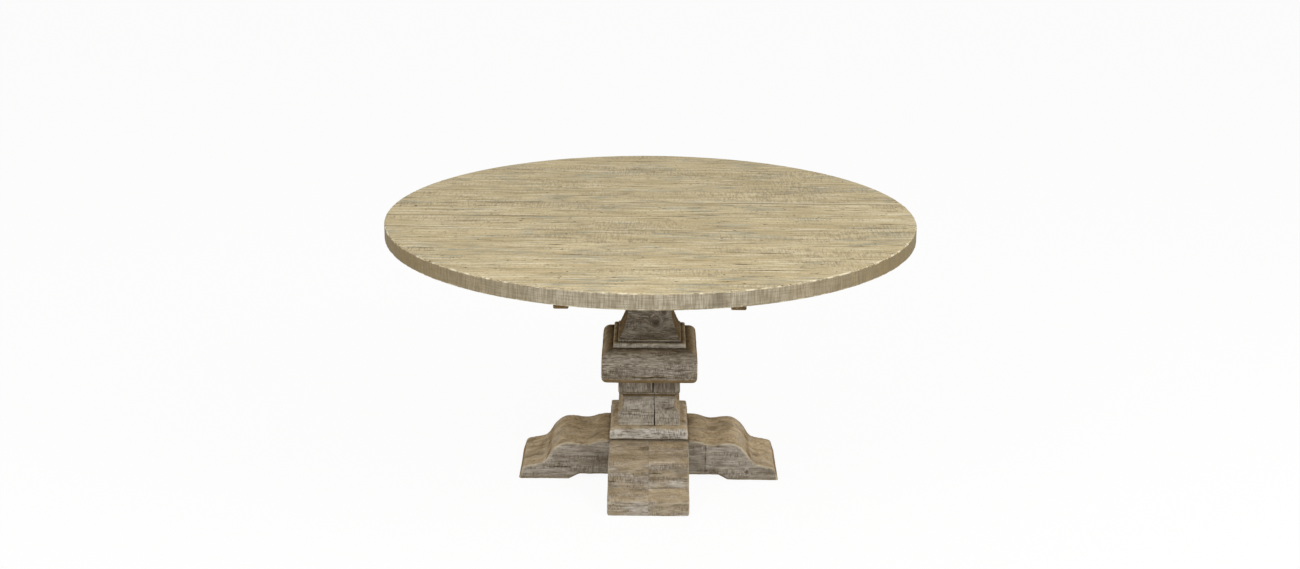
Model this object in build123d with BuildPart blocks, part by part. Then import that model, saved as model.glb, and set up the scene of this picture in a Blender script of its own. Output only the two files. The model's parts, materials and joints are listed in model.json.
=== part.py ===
from build123d import *
import os
from itertools import accumulate, pairwise
from math import sqrt

# Round pedestal dining table in thick reclaimed boards. All sizes are in millimetres.
# The origin is on the floor under the middle of the top, and +Z is up.
# The boards of the top run along X, and the front of the table faces -Y.

# Overall size
TABLE_HEIGHT = 775.0
TOP_DIAMETER = 1524.0

# Top: boards of uneven width, from the front edge to the back edge.
# On a larger or smaller top the same boards are planed wider or narrower, all in proportion.
TOP_THICKNESS = 45.0
RIM_CHAMFER = 2.5
SEAM_CHAMFER = 0.8
BOARD_WIDTHS = (86.0, 130.0, 126.0, 128.0, 132.0, 148.0, 158.0, 140.0, 134.0, 136.0, 128.0, 78.0)

# Dowels in the seams of the top
EDGE_DOWEL_DIAMETER = 10.0
EDGE_DOWEL_LENGTH = 60.0
EDGE_DOWEL_SPACING = 250.0
EDGE_DOWEL_RIM_GAP = 20.0

# Every dowel fits its socket with these gaps
DOWEL_CLEARANCE = 0.1
DOWEL_END_GAP = 1.0

# Head plate, bolted up into the top
PLATE_OVERHANG = 45.0
PLATE_THICKNESS = 30.0
PLATE_CHAMFER = 4.0
PLATE_BOLT_SETBACK = 20.0
PLATE_BOLT_SPACING_Y = 260.0
BOLT_DIAMETER = 8.0
BOLT_BITE = 11.0
BOLT_HOLE_DIAMETER = 10.0
BOLT_HEAD_DIAMETER = 13.0
BOLT_HEAD_HEIGHT = 8.0
BOLT_KEY_WIDTH = 6.0
BOLT_KEY_DEPTH = 4.0
BOLT_WASHER_DIAMETER = 20.0
BOLT_WASHER_THICKNESS = 2.0
INSERT_DIAMETER = 12.0
INSERT_LENGTH = 14.0

# Battens that keep the boards of the top flat
BATTEN_WIDTH = 40.0
BATTEN_HEIGHT = 40.0
BATTEN_PLATE_GAP = 40.0
BATTEN_RIM_SETBACK = 90.0
BATTEN_ROUND = 6.0
SCREW_DIAMETER = 5.0
SCREW_BITE = 28.0
SCREW_HEAD_DIAMETER = 10.0
SCREW_HEAD_HEIGHT = 4.0
SCREW_KEY_WIDTH = 4.0
SCREW_KEY_DEPTH = 2.0
SCREW_WASHER_DIAMETER = 14.0
SCREW_WASHER_THICKNESS = 1.5
SCREW_POCKET_DEPTH = 14.0
SCREW_POCKET_GAP = 1.0
SCREW_SLOT_WIDTH = 6.0
SCREW_SLOT_LENGTH = 12.0
SCREW_END_MARGIN = 15.0
THREAD_CLEARANCE = 0.05

# Pedestal, from the top down. The shaft takes the height that the other blocks leave.
CAP_SIZE = 250.0
CAP_HEIGHT = 35.0
CAP_ROUND = 15.0
SHAFT_END_SIZE = 176.0
SHAFT_WAIST_SIZE = 119.0
MOULDING_SIZE = 210.0
MOULDING_HEIGHT = 14.0
MOULDING_ROUND = 5.0
FILLET_SIZE = 183.0
FILLET_HEIGHT = 7.0
CUSHION_SIZE = 277.0
CUSHION_HEIGHT = 100.0
CUSHION_TOP_ROUND = 28.0
CUSHION_BOTTOM_ROUND = 20.0
NECK_SIZE = 180.0
NECK_HEIGHT = 42.0
NECK_JOINT_X = 11.0
URN_SIZE = 181.0
URN_HEIGHT = 104.0
URN_FOOT_HEIGHT = 46.0
URN_THROAT_SIZE = 150.0
URN_LIP_SIZE = 177.0
URN_LIP_HEIGHT = 6.0
URN_JOINT_X = 16.0
PLINTH_SETBACK = 1.0
PLINTH_HEIGHT = 36.0
PLINTH_ROUND = 11.0
PLINTH_CHAMFER = 4.0

# Dowels between the blocks of the pedestal, two at each joint
COLUMN_DOWEL_DIAMETER = 12.0
COLUMN_DOWEL_LENGTH = 40.0
COLUMN_DOWEL_OFFSET = 45.0

# Tie rod through the pedestal, with a nut and a washer sunk at each end
ROD_DIAMETER = 16.0
ROD_BORE_DIAMETER = 17.0
ROD_TIP = 1.0
ROD_NUT_WIDTH = 24.0
ROD_NUT_HEIGHT = 13.0
ROD_WASHER_DIAMETER = 42.0
ROD_WASHER_THICKNESS = 4.0
ROD_POCKET_GAP = 2.0
ROD_NUT_COVER = 1.0

# Foot cross: two beams halved over each other, each laminated from two boards.
# Lengths along a foot are measured back from the toe, heights up from the sole.
FOOT_REACH = 382.0
FOOT_WIDTH = 232.0
FOOT_HEIGHT = 122.0
SHOULDER_BACK = 254.0
DIP_BACK = 195.0
DIP_DROP = 12.5
HUMP_BACK = 146.0
HUMP_DROP = 7.0
SCROLL_BACK = 95.0
SCROLL_HEIGHT = 84.0
SCROLL_FALL = 1.35
TOE_BACK = 62.0
TOE_HEIGHT = 48.5
TOE_FALL = 0.2
NOSE_BACK = 20.0
NOSE_LEAN = 10.0
NOSE_HEIGHT = 32.0
SOLE_LENGTH = 148.0
ARCH_RISE = 16.0
ARCH_RAMP = 30.0
LAP_CLEARANCE = 0.2

# Dowels that pin the two boards of a foot beam together
FOOT_DOWEL_DIAMETER = 12.0
FOOT_DOWEL_LENGTH = 80.0
FOOT_DOWEL_HEIGHT = 62.0
FOOT_DOWEL_BACKS = (112.0, 202.0)

# Screw levellers, sunk in the soles and shown screwed fully in
LEVELLER_BACK = 78.0
PAD_SHOW = 2.0
PAD_DIAMETER = 38.0
PAD_HEIGHT = 10.0
PAD_CHAMFER = 1.5
PAD_FLOOR = 4.0
PAD_LIP = 0.8
PAD_POCKET_GAP = 4.0
SWIVEL_DIAMETER = 16.0
SWIVEL_HEIGHT = 4.8
SWIVEL_NECK_DIAMETER = 12.0
SWIVEL_SEAT_GAP = 0.1
MOVING_GAP = 0.3
COLLAR_WIDTH = 17.0
COLLAR_HEIGHT = 5.0
COLLAR_GAP = 0.4
COLLAR_NUT_GAP = 1.6
STUD_DIAMETER = 10.0
STUD_THREAD_LENGTH = 27.0
STUD_TIP_CHAMFER = 1.0
STUD_TIP_GAP = 2.0
STUD_RUNNING_CLEARANCE = 0.08
NUT_FLANGE_DIAMETER = 26.0
NUT_FLANGE_THICKNESS = 2.0
NUT_BARREL_DIAMETER = 13.0
NUT_BARREL_LENGTH = 18.0

# Cutting tools run past the faces that they cut by this much
OVERRUN = 10.0

# The plinth sits just inside the sides of the feet
PLINTH_SIZE = FOOT_WIDTH - 2 * PLINTH_SETBACK

# Heights of the joints between the pieces
SOLE_Z = PAD_SHOW
ARCH_Z = SOLE_Z + ARCH_RISE
FOOT_TOP_Z = SOLE_Z + FOOT_HEIGHT
LAP_Z = (ARCH_Z + FOOT_TOP_Z) / 2
PLINTH_TOP_Z = FOOT_TOP_Z + PLINTH_HEIGHT
URN_TOP_Z = PLINTH_TOP_Z + URN_HEIGHT
NECK_TOP_Z = URN_TOP_Z + NECK_HEIGHT
CUSHION_TOP_Z = NECK_TOP_Z + CUSHION_HEIGHT
MOULDING_TOP_Z = CUSHION_TOP_Z + MOULDING_HEIGHT + FILLET_HEIGHT
TOP_UNDERSIDE_Z = TABLE_HEIGHT - TOP_THICKNESS
PLATE_BOTTOM_Z = TOP_UNDERSIDE_Z - PLATE_THICKNESS
CAP_BOTTOM_Z = PLATE_BOTTOM_Z - CAP_HEIGHT

# Places across the top
TOP_RADIUS = TOP_DIAMETER / 2
EDGE_DOWEL_Z = TOP_UNDERSIDE_Z + TOP_THICKNESS / 2
PLATE_SIZE = CAP_SIZE + 2 * PLATE_OVERHANG
PLATE_BOLT_SPACING_X = PLATE_SIZE - 2 * PLATE_BOLT_SETBACK
BATTEN_X = PLATE_SIZE / 2 + BATTEN_PLATE_GAP + BATTEN_WIDTH / 2
BATTEN_REACH = sqrt(TOP_RADIUS**2 - (BATTEN_X + BATTEN_WIDTH / 2) ** 2) - BATTEN_RIM_SETBACK
BATTEN_BOTTOM_Z = TOP_UNDERSIDE_Z - BATTEN_HEIGHT
SCREW_SEAT_Z = BATTEN_BOTTOM_Z + SCREW_POCKET_DEPTH

# Seats of the tie rod's washers
ROD_SINK = ROD_WASHER_THICKNESS + ROD_NUT_HEIGHT + ROD_TIP + ROD_NUT_COVER
ROD_LOW_SEAT_Z = ARCH_Z + ROD_SINK
ROD_HIGH_SEAT_Z = TOP_UNDERSIDE_Z - ROD_SINK
ROD_POCKET_RADIUS = ROD_WASHER_DIAMETER / 2 + ROD_POCKET_GAP

# Heights inside a leveller
SWIVEL_Z = PAD_FLOOR + SWIVEL_SEAT_GAP
COLLAR_Z = PAD_HEIGHT + COLLAR_GAP
THREAD_Z = COLLAR_Z + COLLAR_HEIGHT
NUT_FLANGE_Z = THREAD_Z + COLLAR_NUT_GAP
NUT_BARREL_Z = NUT_FLANGE_Z + NUT_FLANGE_THICKNESS
STUD_TIP_Z = THREAD_Z + STUD_THREAD_LENGTH
LEVELLER_REACH = FOOT_REACH - LEVELLER_BACK
LEVELLER_PLACES = {
    "front": (0, -LEVELLER_REACH),
    "back": (0, LEVELLER_REACH),
    "left": (-LEVELLER_REACH, 0),
    "right": (LEVELLER_REACH, 0),
}

UP = (Align.CENTER, Align.CENTER, Align.MIN)
DOWN = (Align.CENTER, Align.CENTER, Align.MAX)


def save(piece, name):
    """Label a finished piece and write it to its own file."""
    piece.part.label = name
    export_step(piece.part, f"parts/{name}.step")


def at_height(points, height):
    """Lift points of the XY plane to a height."""
    return [(x, y, height) for x, y in points]


# Seams of the top, from front to back


def seam_places():
    """Y of every seam, with the boards filling the top from rim to rim."""
    stretch = TOP_DIAMETER / sum(BOARD_WIDTHS)
    return [filled * stretch - TOP_RADIUS for filled in accumulate(BOARD_WIDTHS[:-1])]


def edge_dowel_points(seam_y):
    """Dowel centres along one seam, with both tips clear of the rim."""
    tip_y = abs(seam_y) + EDGE_DOWEL_LENGTH / 2 + DOWEL_END_GAP
    half_run = sqrt((TOP_RADIUS - EDGE_DOWEL_RIM_GAP) ** 2 - tip_y**2)
    count = int(2 * half_run // EDGE_DOWEL_SPACING) + 1
    first_x = -(count - 1) * EDGE_DOWEL_SPACING / 2
    return [(first_x + i * EDGE_DOWEL_SPACING, seam_y, EDGE_DOWEL_Z) for i in range(count)]


def screw_row():
    """Y of one screw in each board, midway along what the batten covers of it."""
    covered = [
        (max(low, -BATTEN_REACH), min(high, BATTEN_REACH)) for low, high in pairwise(BOARD_EDGES)
    ]
    return [(low + high) / 2 for low, high in covered if high - low > 2 * SCREW_END_MARGIN]


SEAMS = seam_places()
BOARD_EDGES = [-TOP_RADIUS - OVERRUN, *SEAMS, TOP_RADIUS + OVERRUN]
SCREW_ROW = screw_row()
SCREW_POINTS = [(x, y) for x in (-BATTEN_X, BATTEN_X) for y in SCREW_ROW]
PLATE_BOLT_POINTS = [
    (x * PLATE_BOLT_SPACING_X / 2, y * PLATE_BOLT_SPACING_Y / 2) for x in (-1, 1) for y in (-1, 1)
]


# Boards of the top


def make_top_disc():
    """The whole round top before it is cut into boards."""
    with BuildPart() as disc:
        with BuildSketch(Plane.XZ) as section:
            with Locations((0, TOP_UNDERSIDE_Z)):
                Rectangle(TOP_RADIUS, TOP_THICKNESS, align=(Align.MIN, Align.MIN))
            chamfer(section.vertices().group_by(Axis.X)[-1], RIM_CHAMFER)
        revolve(axis=Axis.Z)
    return disc


def make_top_board(disc, low_y, high_y):
    """One board of the top, with its dowel sockets, screw holes and insert holes."""
    with BuildPart() as board:
        add(disc.part)
        with BuildSketch(Plane.YZ) as section:
            with Locations((low_y, TOP_UNDERSIDE_Z)):
                Rectangle(high_y - low_y, TOP_THICKNESS, align=(Align.MIN, Align.MIN))
            chamfer(section.vertices().group_by(Axis.Y)[-1], SEAM_CHAMFER)
        extrude(amount=TOP_RADIUS + OVERRUN, both=True, mode=Mode.INTERSECT)
        for seam_y in (low_y, high_y):
            if seam_y in SEAMS:
                with Locations(*edge_dowel_points(seam_y)):
                    Cylinder(
                        EDGE_DOWEL_DIAMETER / 2 + DOWEL_CLEARANCE,
                        EDGE_DOWEL_LENGTH + 2 * DOWEL_END_GAP,
                        rotation=(90, 0, 0),
                        mode=Mode.SUBTRACT,
                    )
        with Locations(*at_height(SCREW_POINTS, TOP_UNDERSIDE_Z)):
            Cylinder(
                SCREW_DIAMETER / 2 + THREAD_CLEARANCE,
                SCREW_BITE + DOWEL_END_GAP,
                align=UP,
                mode=Mode.SUBTRACT,
            )
        with Locations(*at_height(PLATE_BOLT_POINTS, TOP_UNDERSIDE_Z)):
            Cylinder(
                INSERT_DIAMETER / 2 + THREAD_CLEARANCE,
                INSERT_LENGTH + DOWEL_END_GAP,
                align=UP,
                mode=Mode.SUBTRACT,
            )
    return board


def make_edge_dowels():
    with BuildPart() as dowels:
        for seam_y in SEAMS:
            with Locations(*edge_dowel_points(seam_y)):
                Cylinder(EDGE_DOWEL_DIAMETER / 2, EDGE_DOWEL_LENGTH, rotation=(90, 0, 0))
    return dowels


# Battens and their screws


def make_batten(x):
    """A batten with rounded lower edges, and a slot over a sunk pocket for each screw."""
    with BuildPart() as batten:
        with Locations((x, 0, TOP_UNDERSIDE_Z)):
            Box(BATTEN_WIDTH, 2 * BATTEN_REACH, BATTEN_HEIGHT, align=DOWN)
        fillet(batten.faces().sort_by(Axis.Z)[0].edges(), BATTEN_ROUND)
        with Locations(*[(x, y, BATTEN_BOTTOM_Z) for y in SCREW_ROW]):
            Cylinder(
                SCREW_WASHER_DIAMETER / 2 + SCREW_POCKET_GAP,
                SCREW_POCKET_DEPTH,
                align=UP,
                mode=Mode.SUBTRACT,
            )
        with BuildSketch(Plane.XY.offset(SCREW_SEAT_Z)):
            with Locations(*[(x, y) for y in SCREW_ROW]):
                SlotOverall(SCREW_SLOT_LENGTH, SCREW_SLOT_WIDTH, rotation=90)
        extrude(amount=BATTEN_HEIGHT, mode=Mode.SUBTRACT)
    return batten


def make_batten_screws():
    """Socket-head screws that reach from the pockets into the boards."""
    head_z = SCREW_SEAT_Z - SCREW_WASHER_THICKNESS
    with BuildPart() as screws:
        with Locations(*at_height(SCREW_POINTS, head_z)):
            Cylinder(SCREW_HEAD_DIAMETER / 2, SCREW_HEAD_HEIGHT, align=DOWN)
            Cylinder(SCREW_DIAMETER / 2, TOP_UNDERSIDE_Z + SCREW_BITE - head_z, align=UP)
        with BuildSketch(Plane.XY.offset(head_z - SCREW_HEAD_HEIGHT)):
            with Locations(*SCREW_POINTS):
                RegularPolygon(SCREW_KEY_WIDTH / 2, 6, major_radius=False)
        extrude(amount=SCREW_KEY_DEPTH, mode=Mode.SUBTRACT)
    return screws


def make_batten_washers():
    with BuildPart() as washers:
        with Locations(*at_height(SCREW_POINTS, SCREW_SEAT_Z)):
            Cylinder(SCREW_WASHER_DIAMETER / 2, SCREW_WASHER_THICKNESS, align=DOWN)
            Cylinder(
                SCREW_DIAMETER / 2 + THREAD_CLEARANCE,
                SCREW_WASHER_THICKNESS,
                align=DOWN,
                mode=Mode.SUBTRACT,
            )
    return washers


# Tie rod bore and dowel sockets, shared by all blocks of the pedestal


def column_dowel_spans():
    """Lowest and highest point of the dowels at each joint of the pedestal."""
    half = COLUMN_DOWEL_LENGTH / 2
    joints = [FOOT_TOP_Z, PLINTH_TOP_Z, URN_TOP_Z, NECK_TOP_Z]
    spans = [(z - half, z + half) for z in joints]
    spans.append((CUSHION_TOP_Z - half, MOULDING_TOP_Z + half))
    spans += [(z - half, z + half) for z in (CAP_BOTTOM_Z, PLATE_BOTTOM_Z)]
    return spans


def column_dowel_points(joint):
    """Two dowels on a diagonal, which changes sides from joint to joint."""
    side = 1 if joint % 2 == 0 else -1
    place = COLUMN_DOWEL_OFFSET
    return [(place, side * place), (-place, -side * place)]


def cut_column_bores():
    """Cut the rod's bore, its two pockets and the dowel sockets from the block being built."""
    with Locations((0, 0, ARCH_Z)):
        Cylinder(
            ROD_BORE_DIAMETER / 2, TOP_UNDERSIDE_Z - ARCH_Z, align=UP, mode=Mode.SUBTRACT
        )
    with Locations((0, 0, ROD_LOW_SEAT_Z)):
        Cylinder(ROD_POCKET_RADIUS, ROD_SINK + OVERRUN, align=DOWN, mode=Mode.SUBTRACT)
    with Locations((0, 0, ROD_HIGH_SEAT_Z)):
        Cylinder(ROD_POCKET_RADIUS, ROD_SINK + OVERRUN, align=UP, mode=Mode.SUBTRACT)
    for joint, (low, high) in enumerate(column_dowel_spans()):
        with Locations(*at_height(column_dowel_points(joint), low - DOWEL_END_GAP)):
            Cylinder(
                COLUMN_DOWEL_DIAMETER / 2 + DOWEL_CLEARANCE,
                high - low + 2 * DOWEL_END_GAP,
                align=UP,
                mode=Mode.SUBTRACT,
            )


def make_column_dowels():
    with BuildPart() as dowels:
        for joint, (low, high) in enumerate(column_dowel_spans()):
            with Locations(*at_height(column_dowel_points(joint), low)):
                Cylinder(COLUMN_DOWEL_DIAMETER / 2, high - low, align=UP)
    return dowels


# Square blocks of the pedestal, moulded alike on all four sides


def make_square_block(draw_side):
    """A square block whose front and side views both have the outline that draw_side draws."""
    with BuildPart() as block:
        for plane, mode in ((Plane.XZ, Mode.ADD), (Plane.YZ, Mode.INTERSECT)):
            with BuildSketch(plane):
                with BuildLine() as outline:
                    draw_side()
                    mirror(outline.line, about=Plane.YZ)
                make_face()
            extrude(amount=CUSHION_SIZE + CAP_SIZE, both=True, mode=mode)
        cut_column_bores()
    return block


def draw_cap():
    half = CAP_SIZE / 2
    Line((0, CAP_BOTTOM_Z), (half - CAP_ROUND, CAP_BOTTOM_Z))
    CenterArc((half - CAP_ROUND, CAP_BOTTOM_Z + CAP_ROUND), CAP_ROUND, -90, 90)
    Polyline((half, CAP_BOTTOM_Z + CAP_ROUND), (half, PLATE_BOTTOM_Z), (0, PLATE_BOTTOM_Z))


def draw_shaft():
    end = SHAFT_END_SIZE / 2
    waist = SHAFT_WAIST_SIZE / 2
    Line((0, MOULDING_TOP_Z), (end, MOULDING_TOP_Z))
    ThreePointArc(
        (end, MOULDING_TOP_Z), (waist, (MOULDING_TOP_Z + CAP_BOTTOM_Z) / 2), (end, CAP_BOTTOM_Z)
    )
    Line((end, CAP_BOTTOM_Z), (0, CAP_BOTTOM_Z))


def draw_moulding():
    half = MOULDING_SIZE / 2
    inner = FILLET_SIZE / 2
    step_z = CUSHION_TOP_Z + MOULDING_HEIGHT
    Polyline((0, CUSHION_TOP_Z), (half, CUSHION_TOP_Z), (half, step_z - MOULDING_ROUND))
    CenterArc((half - MOULDING_ROUND, step_z - MOULDING_ROUND), MOULDING_ROUND, 0, 90)
    Polyline(
        (half - MOULDING_ROUND, step_z),
        (inner, step_z),
        (inner, MOULDING_TOP_Z),
        (0, MOULDING_TOP_Z),
    )


def draw_cushion():
    half = CUSHION_SIZE / 2
    low = CUSHION_BOTTOM_ROUND
    high = CUSHION_TOP_ROUND
    Line((0, NECK_TOP_Z), (half - low, NECK_TOP_Z))
    CenterArc((half - low, NECK_TOP_Z + low), low, -90, 90)
    Line((half, NECK_TOP_Z + low), (half, CUSHION_TOP_Z - high))
    CenterArc((half - high, CUSHION_TOP_Z - high), high, 0, 90)
    Line((half - high, CUSHION_TOP_Z), (0, CUSHION_TOP_Z))


def draw_neck():
    half = NECK_SIZE / 2
    Polyline((0, URN_TOP_Z), (half, URN_TOP_Z), (half, NECK_TOP_Z), (0, NECK_TOP_Z))


def draw_urn():
    half = URN_SIZE / 2
    throat = URN_THROAT_SIZE / 2
    lip = URN_LIP_SIZE / 2
    low_cove = half - throat
    high_cove = lip - throat
    low_z = PLINTH_TOP_Z + URN_FOOT_HEIGHT
    high_z = URN_TOP_Z - URN_LIP_HEIGHT
    Polyline((0, PLINTH_TOP_Z), (half, PLINTH_TOP_Z), (half, low_z))
    CenterArc((half, low_z + low_cove), low_cove, -90, -90)
    Line((throat, low_z + low_cove), (throat, high_z - high_cove))
    CenterArc((lip, high_z - high_cove), high_cove, 180, -90)
    Polyline((lip, high_z), (lip, URN_TOP_Z), (0, URN_TOP_Z))


def draw_plinth():
    half = PLINTH_SIZE / 2
    round_z = PLINTH_TOP_Z - PLINTH_ROUND
    Polyline(
        (0, FOOT_TOP_Z),
        (half - PLINTH_CHAMFER, FOOT_TOP_Z),
        (half, FOOT_TOP_Z + PLINTH_CHAMFER),
        (half, round_z),
    )
    CenterArc((half - PLINTH_ROUND, round_z), PLINTH_ROUND, 0, 90)
    Line((half - PLINTH_ROUND, PLINTH_TOP_Z), (0, PLINTH_TOP_Z))


def make_half_block(draw_side, joint_x, keep):
    """One of the two glued pieces of a block, on one side of the joint at joint_x."""
    whole = make_square_block(draw_side)
    with BuildPart() as half:
        add(whole.part)
        split(bisect_by=Plane.YZ.offset(joint_x), keep=keep)
    return half


# Head plate and what fastens it to the top


def make_head_plate():
    with BuildPart() as plate:
        with Locations((0, 0, PLATE_BOTTOM_Z)):
            Box(PLATE_SIZE, PLATE_SIZE, PLATE_THICKNESS, align=UP)
        chamfer(plate.faces().sort_by(Axis.Z)[0].edges(), PLATE_CHAMFER)
        with Locations(*at_height(PLATE_BOLT_POINTS, PLATE_BOTTOM_Z)):
            Cylinder(BOLT_HOLE_DIAMETER / 2, PLATE_THICKNESS, align=UP, mode=Mode.SUBTRACT)
        cut_column_bores()
    return plate


def make_plate_bolts():
    """Socket-head bolts that reach from under the plate into the inserts."""
    head_z = PLATE_BOTTOM_Z - BOLT_WASHER_THICKNESS
    with BuildPart() as bolts:
        with Locations(*at_height(PLATE_BOLT_POINTS, head_z)):
            Cylinder(BOLT_HEAD_DIAMETER / 2, BOLT_HEAD_HEIGHT, align=DOWN)
            Cylinder(BOLT_DIAMETER / 2, TOP_UNDERSIDE_Z + BOLT_BITE - head_z, align=UP)
        with BuildSketch(Plane.XY.offset(head_z - BOLT_HEAD_HEIGHT)):
            with Locations(*PLATE_BOLT_POINTS):
                RegularPolygon(BOLT_KEY_WIDTH / 2, 6, major_radius=False)
        extrude(amount=BOLT_KEY_DEPTH, mode=Mode.SUBTRACT)
    return bolts


def make_plate_washers():
    with BuildPart() as washers:
        with Locations(*at_height(PLATE_BOLT_POINTS, PLATE_BOTTOM_Z)):
            Cylinder(BOLT_WASHER_DIAMETER / 2, BOLT_WASHER_THICKNESS, align=DOWN)
            Cylinder(
                BOLT_DIAMETER / 2 + THREAD_CLEARANCE,
                BOLT_WASHER_THICKNESS,
                align=DOWN,
                mode=Mode.SUBTRACT,
            )
    return washers


def make_thread_inserts():
    with BuildPart() as inserts:
        with Locations(*at_height(PLATE_BOLT_POINTS, TOP_UNDERSIDE_Z)):
            Cylinder(INSERT_DIAMETER / 2, INSERT_LENGTH, align=UP)
            Cylinder(
                BOLT_DIAMETER / 2 + THREAD_CLEARANCE, INSERT_LENGTH, align=UP, mode=Mode.SUBTRACT
            )
    return inserts


# Tie rod


def make_tie_rod():
    reach = ROD_WASHER_THICKNESS + ROD_NUT_HEIGHT + ROD_TIP
    with BuildPart() as rod:
        with Locations((0, 0, ROD_LOW_SEAT_Z - reach)):
            Cylinder(ROD_DIAMETER / 2, ROD_HIGH_SEAT_Z - ROD_LOW_SEAT_Z + 2 * reach, align=UP)
    return rod


def make_tie_rod_nuts():
    low_z = ROD_LOW_SEAT_Z - ROD_WASHER_THICKNESS - ROD_NUT_HEIGHT
    high_z = ROD_HIGH_SEAT_Z + ROD_WASHER_THICKNESS
    with BuildPart() as nuts:
        for z in (low_z, high_z):
            with BuildSketch(Plane.XY.offset(z)):
                RegularPolygon(ROD_NUT_WIDTH / 2, 6, major_radius=False)
                Circle(ROD_DIAMETER / 2 + THREAD_CLEARANCE, mode=Mode.SUBTRACT)
            extrude(amount=ROD_NUT_HEIGHT)
    return nuts


def make_tie_rod_washers():
    with BuildPart() as washers:
        for z in (ROD_LOW_SEAT_Z - ROD_WASHER_THICKNESS, ROD_HIGH_SEAT_Z):
            with BuildSketch(Plane.XY.offset(z)):
                Circle(ROD_WASHER_DIAMETER / 2)
                Circle(ROD_DIAMETER / 2 + THREAD_CLEARANCE, mode=Mode.SUBTRACT)
            extrude(amount=ROD_WASHER_THICKNESS)
    return washers


# Foot cross


def draw_foot():
    """Side outline of one foot, from the middle of the table out to the toe and back."""
    arch_end = FOOT_REACH - SOLE_LENGTH - ARCH_RAMP
    nose = (FOOT_REACH - NOSE_BACK, SOLE_Z + TOE_HEIGHT - TOE_FALL * (TOE_BACK - NOSE_BACK))
    nose_end = (FOOT_REACH - NOSE_LEAN, SOLE_Z + NOSE_HEIGHT)
    shoulder = (FOOT_REACH - SHOULDER_BACK, FOOT_TOP_Z)
    toe = (FOOT_REACH - TOE_BACK, SOLE_Z + TOE_HEIGHT)
    Polyline(
        (0, ARCH_Z),
        (arch_end, ARCH_Z),
        (FOOT_REACH - SOLE_LENGTH, SOLE_Z),
        (FOOT_REACH, SOLE_Z),
        nose_end,
    )
    TangentArc(nose, nose_end, tangent=(1, -TOE_FALL))
    Line(nose, toe)
    Spline(
        shoulder,
        (FOOT_REACH - DIP_BACK, FOOT_TOP_Z - DIP_DROP),
        (FOOT_REACH - HUMP_BACK, FOOT_TOP_Z - HUMP_DROP),
        (FOOT_REACH - SCROLL_BACK, SOLE_Z + SCROLL_HEIGHT),
        toe,
        tangents=((1, 0), (1, 0), (1, 0), (1, -SCROLL_FALL), (1, -TOE_FALL)),
    )
    Line(shoulder, (0, FOOT_TOP_Z))


def foot_dowel_points(turn):
    """Places of the cross dowels in one beam, as seen along the beam's side."""
    backs = [FOOT_REACH - back for back in FOOT_DOWEL_BACKS]
    reaches = [*backs, *[-reach for reach in backs]]
    if turn:
        return [(0, reach, SOLE_Z + FOOT_DOWEL_HEIGHT) for reach in reaches]
    return [(reach, 0, SOLE_Z + FOOT_DOWEL_HEIGHT) for reach in reaches]


def cut_leveller_pockets():
    """Cut the pad pocket, the nut's hole and the stud's relief up into the foot being built."""
    places = list(LEVELLER_PLACES.values())
    with Locations(*at_height(places, NUT_BARREL_Z)):
        Cylinder(
            PAD_DIAMETER / 2 + PAD_POCKET_GAP, NUT_BARREL_Z, align=DOWN, mode=Mode.SUBTRACT
        )
        Cylinder(
            NUT_BARREL_DIAMETER / 2 + THREAD_CLEARANCE,
            max(NUT_BARREL_LENGTH, STUD_TIP_Z + STUD_TIP_GAP - NUT_BARREL_Z),
            align=UP,
            mode=Mode.SUBTRACT,
        )


def make_foot_board(plane, side):
    """One of the two boards of a foot beam. The front-to-back beam passes under the other."""
    turned = plane == Plane.YZ
    lap_width = FOOT_WIDTH + 2 * LAP_CLEARANCE
    with BuildPart() as board:
        with BuildSketch(plane):
            with BuildLine() as outline:
                draw_foot()
                mirror(outline.line, about=Plane.YZ)
            make_face()
        extrude(amount=side * FOOT_WIDTH / 2)
        with Locations((0, 0, LAP_Z)):
            Box(
                FOOT_WIDTH + OVERRUN if turned else lap_width,
                lap_width if turned else FOOT_WIDTH + OVERRUN,
                FOOT_HEIGHT,
                align=UP if turned else DOWN,
                mode=Mode.SUBTRACT,
            )
        with Locations(*foot_dowel_points(turned)):
            Cylinder(
                FOOT_DOWEL_DIAMETER / 2 + DOWEL_CLEARANCE,
                FOOT_DOWEL_LENGTH + 2 * DOWEL_END_GAP,
                rotation=(0, 90, 0) if turned else (90, 0, 0),
                mode=Mode.SUBTRACT,
            )
        cut_column_bores()
        cut_leveller_pockets()
    return board


def make_foot_dowels():
    with BuildPart() as dowels:
        with Locations(*foot_dowel_points(False)):
            Cylinder(FOOT_DOWEL_DIAMETER / 2, FOOT_DOWEL_LENGTH, rotation=(90, 0, 0))
        with Locations(*foot_dowel_points(True)):
            Cylinder(FOOT_DOWEL_DIAMETER / 2, FOOT_DOWEL_LENGTH, rotation=(0, 90, 0))
    return dowels


# Levellers


def make_leveller_nuts():
    """Flanged nuts pressed up into the feet."""
    places = list(LEVELLER_PLACES.values())
    with BuildPart() as nuts:
        with Locations(*at_height(places, NUT_FLANGE_Z)):
            Cylinder(NUT_FLANGE_DIAMETER / 2, NUT_FLANGE_THICKNESS, align=UP)
            Cylinder(
                NUT_BARREL_DIAMETER / 2, NUT_FLANGE_THICKNESS + NUT_BARREL_LENGTH, align=UP
            )
            Cylinder(
                STUD_DIAMETER / 2 + STUD_RUNNING_CLEARANCE,
                NUT_FLANGE_THICKNESS + NUT_BARREL_LENGTH,
                align=UP,
                mode=Mode.SUBTRACT,
            )
    return nuts


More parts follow.
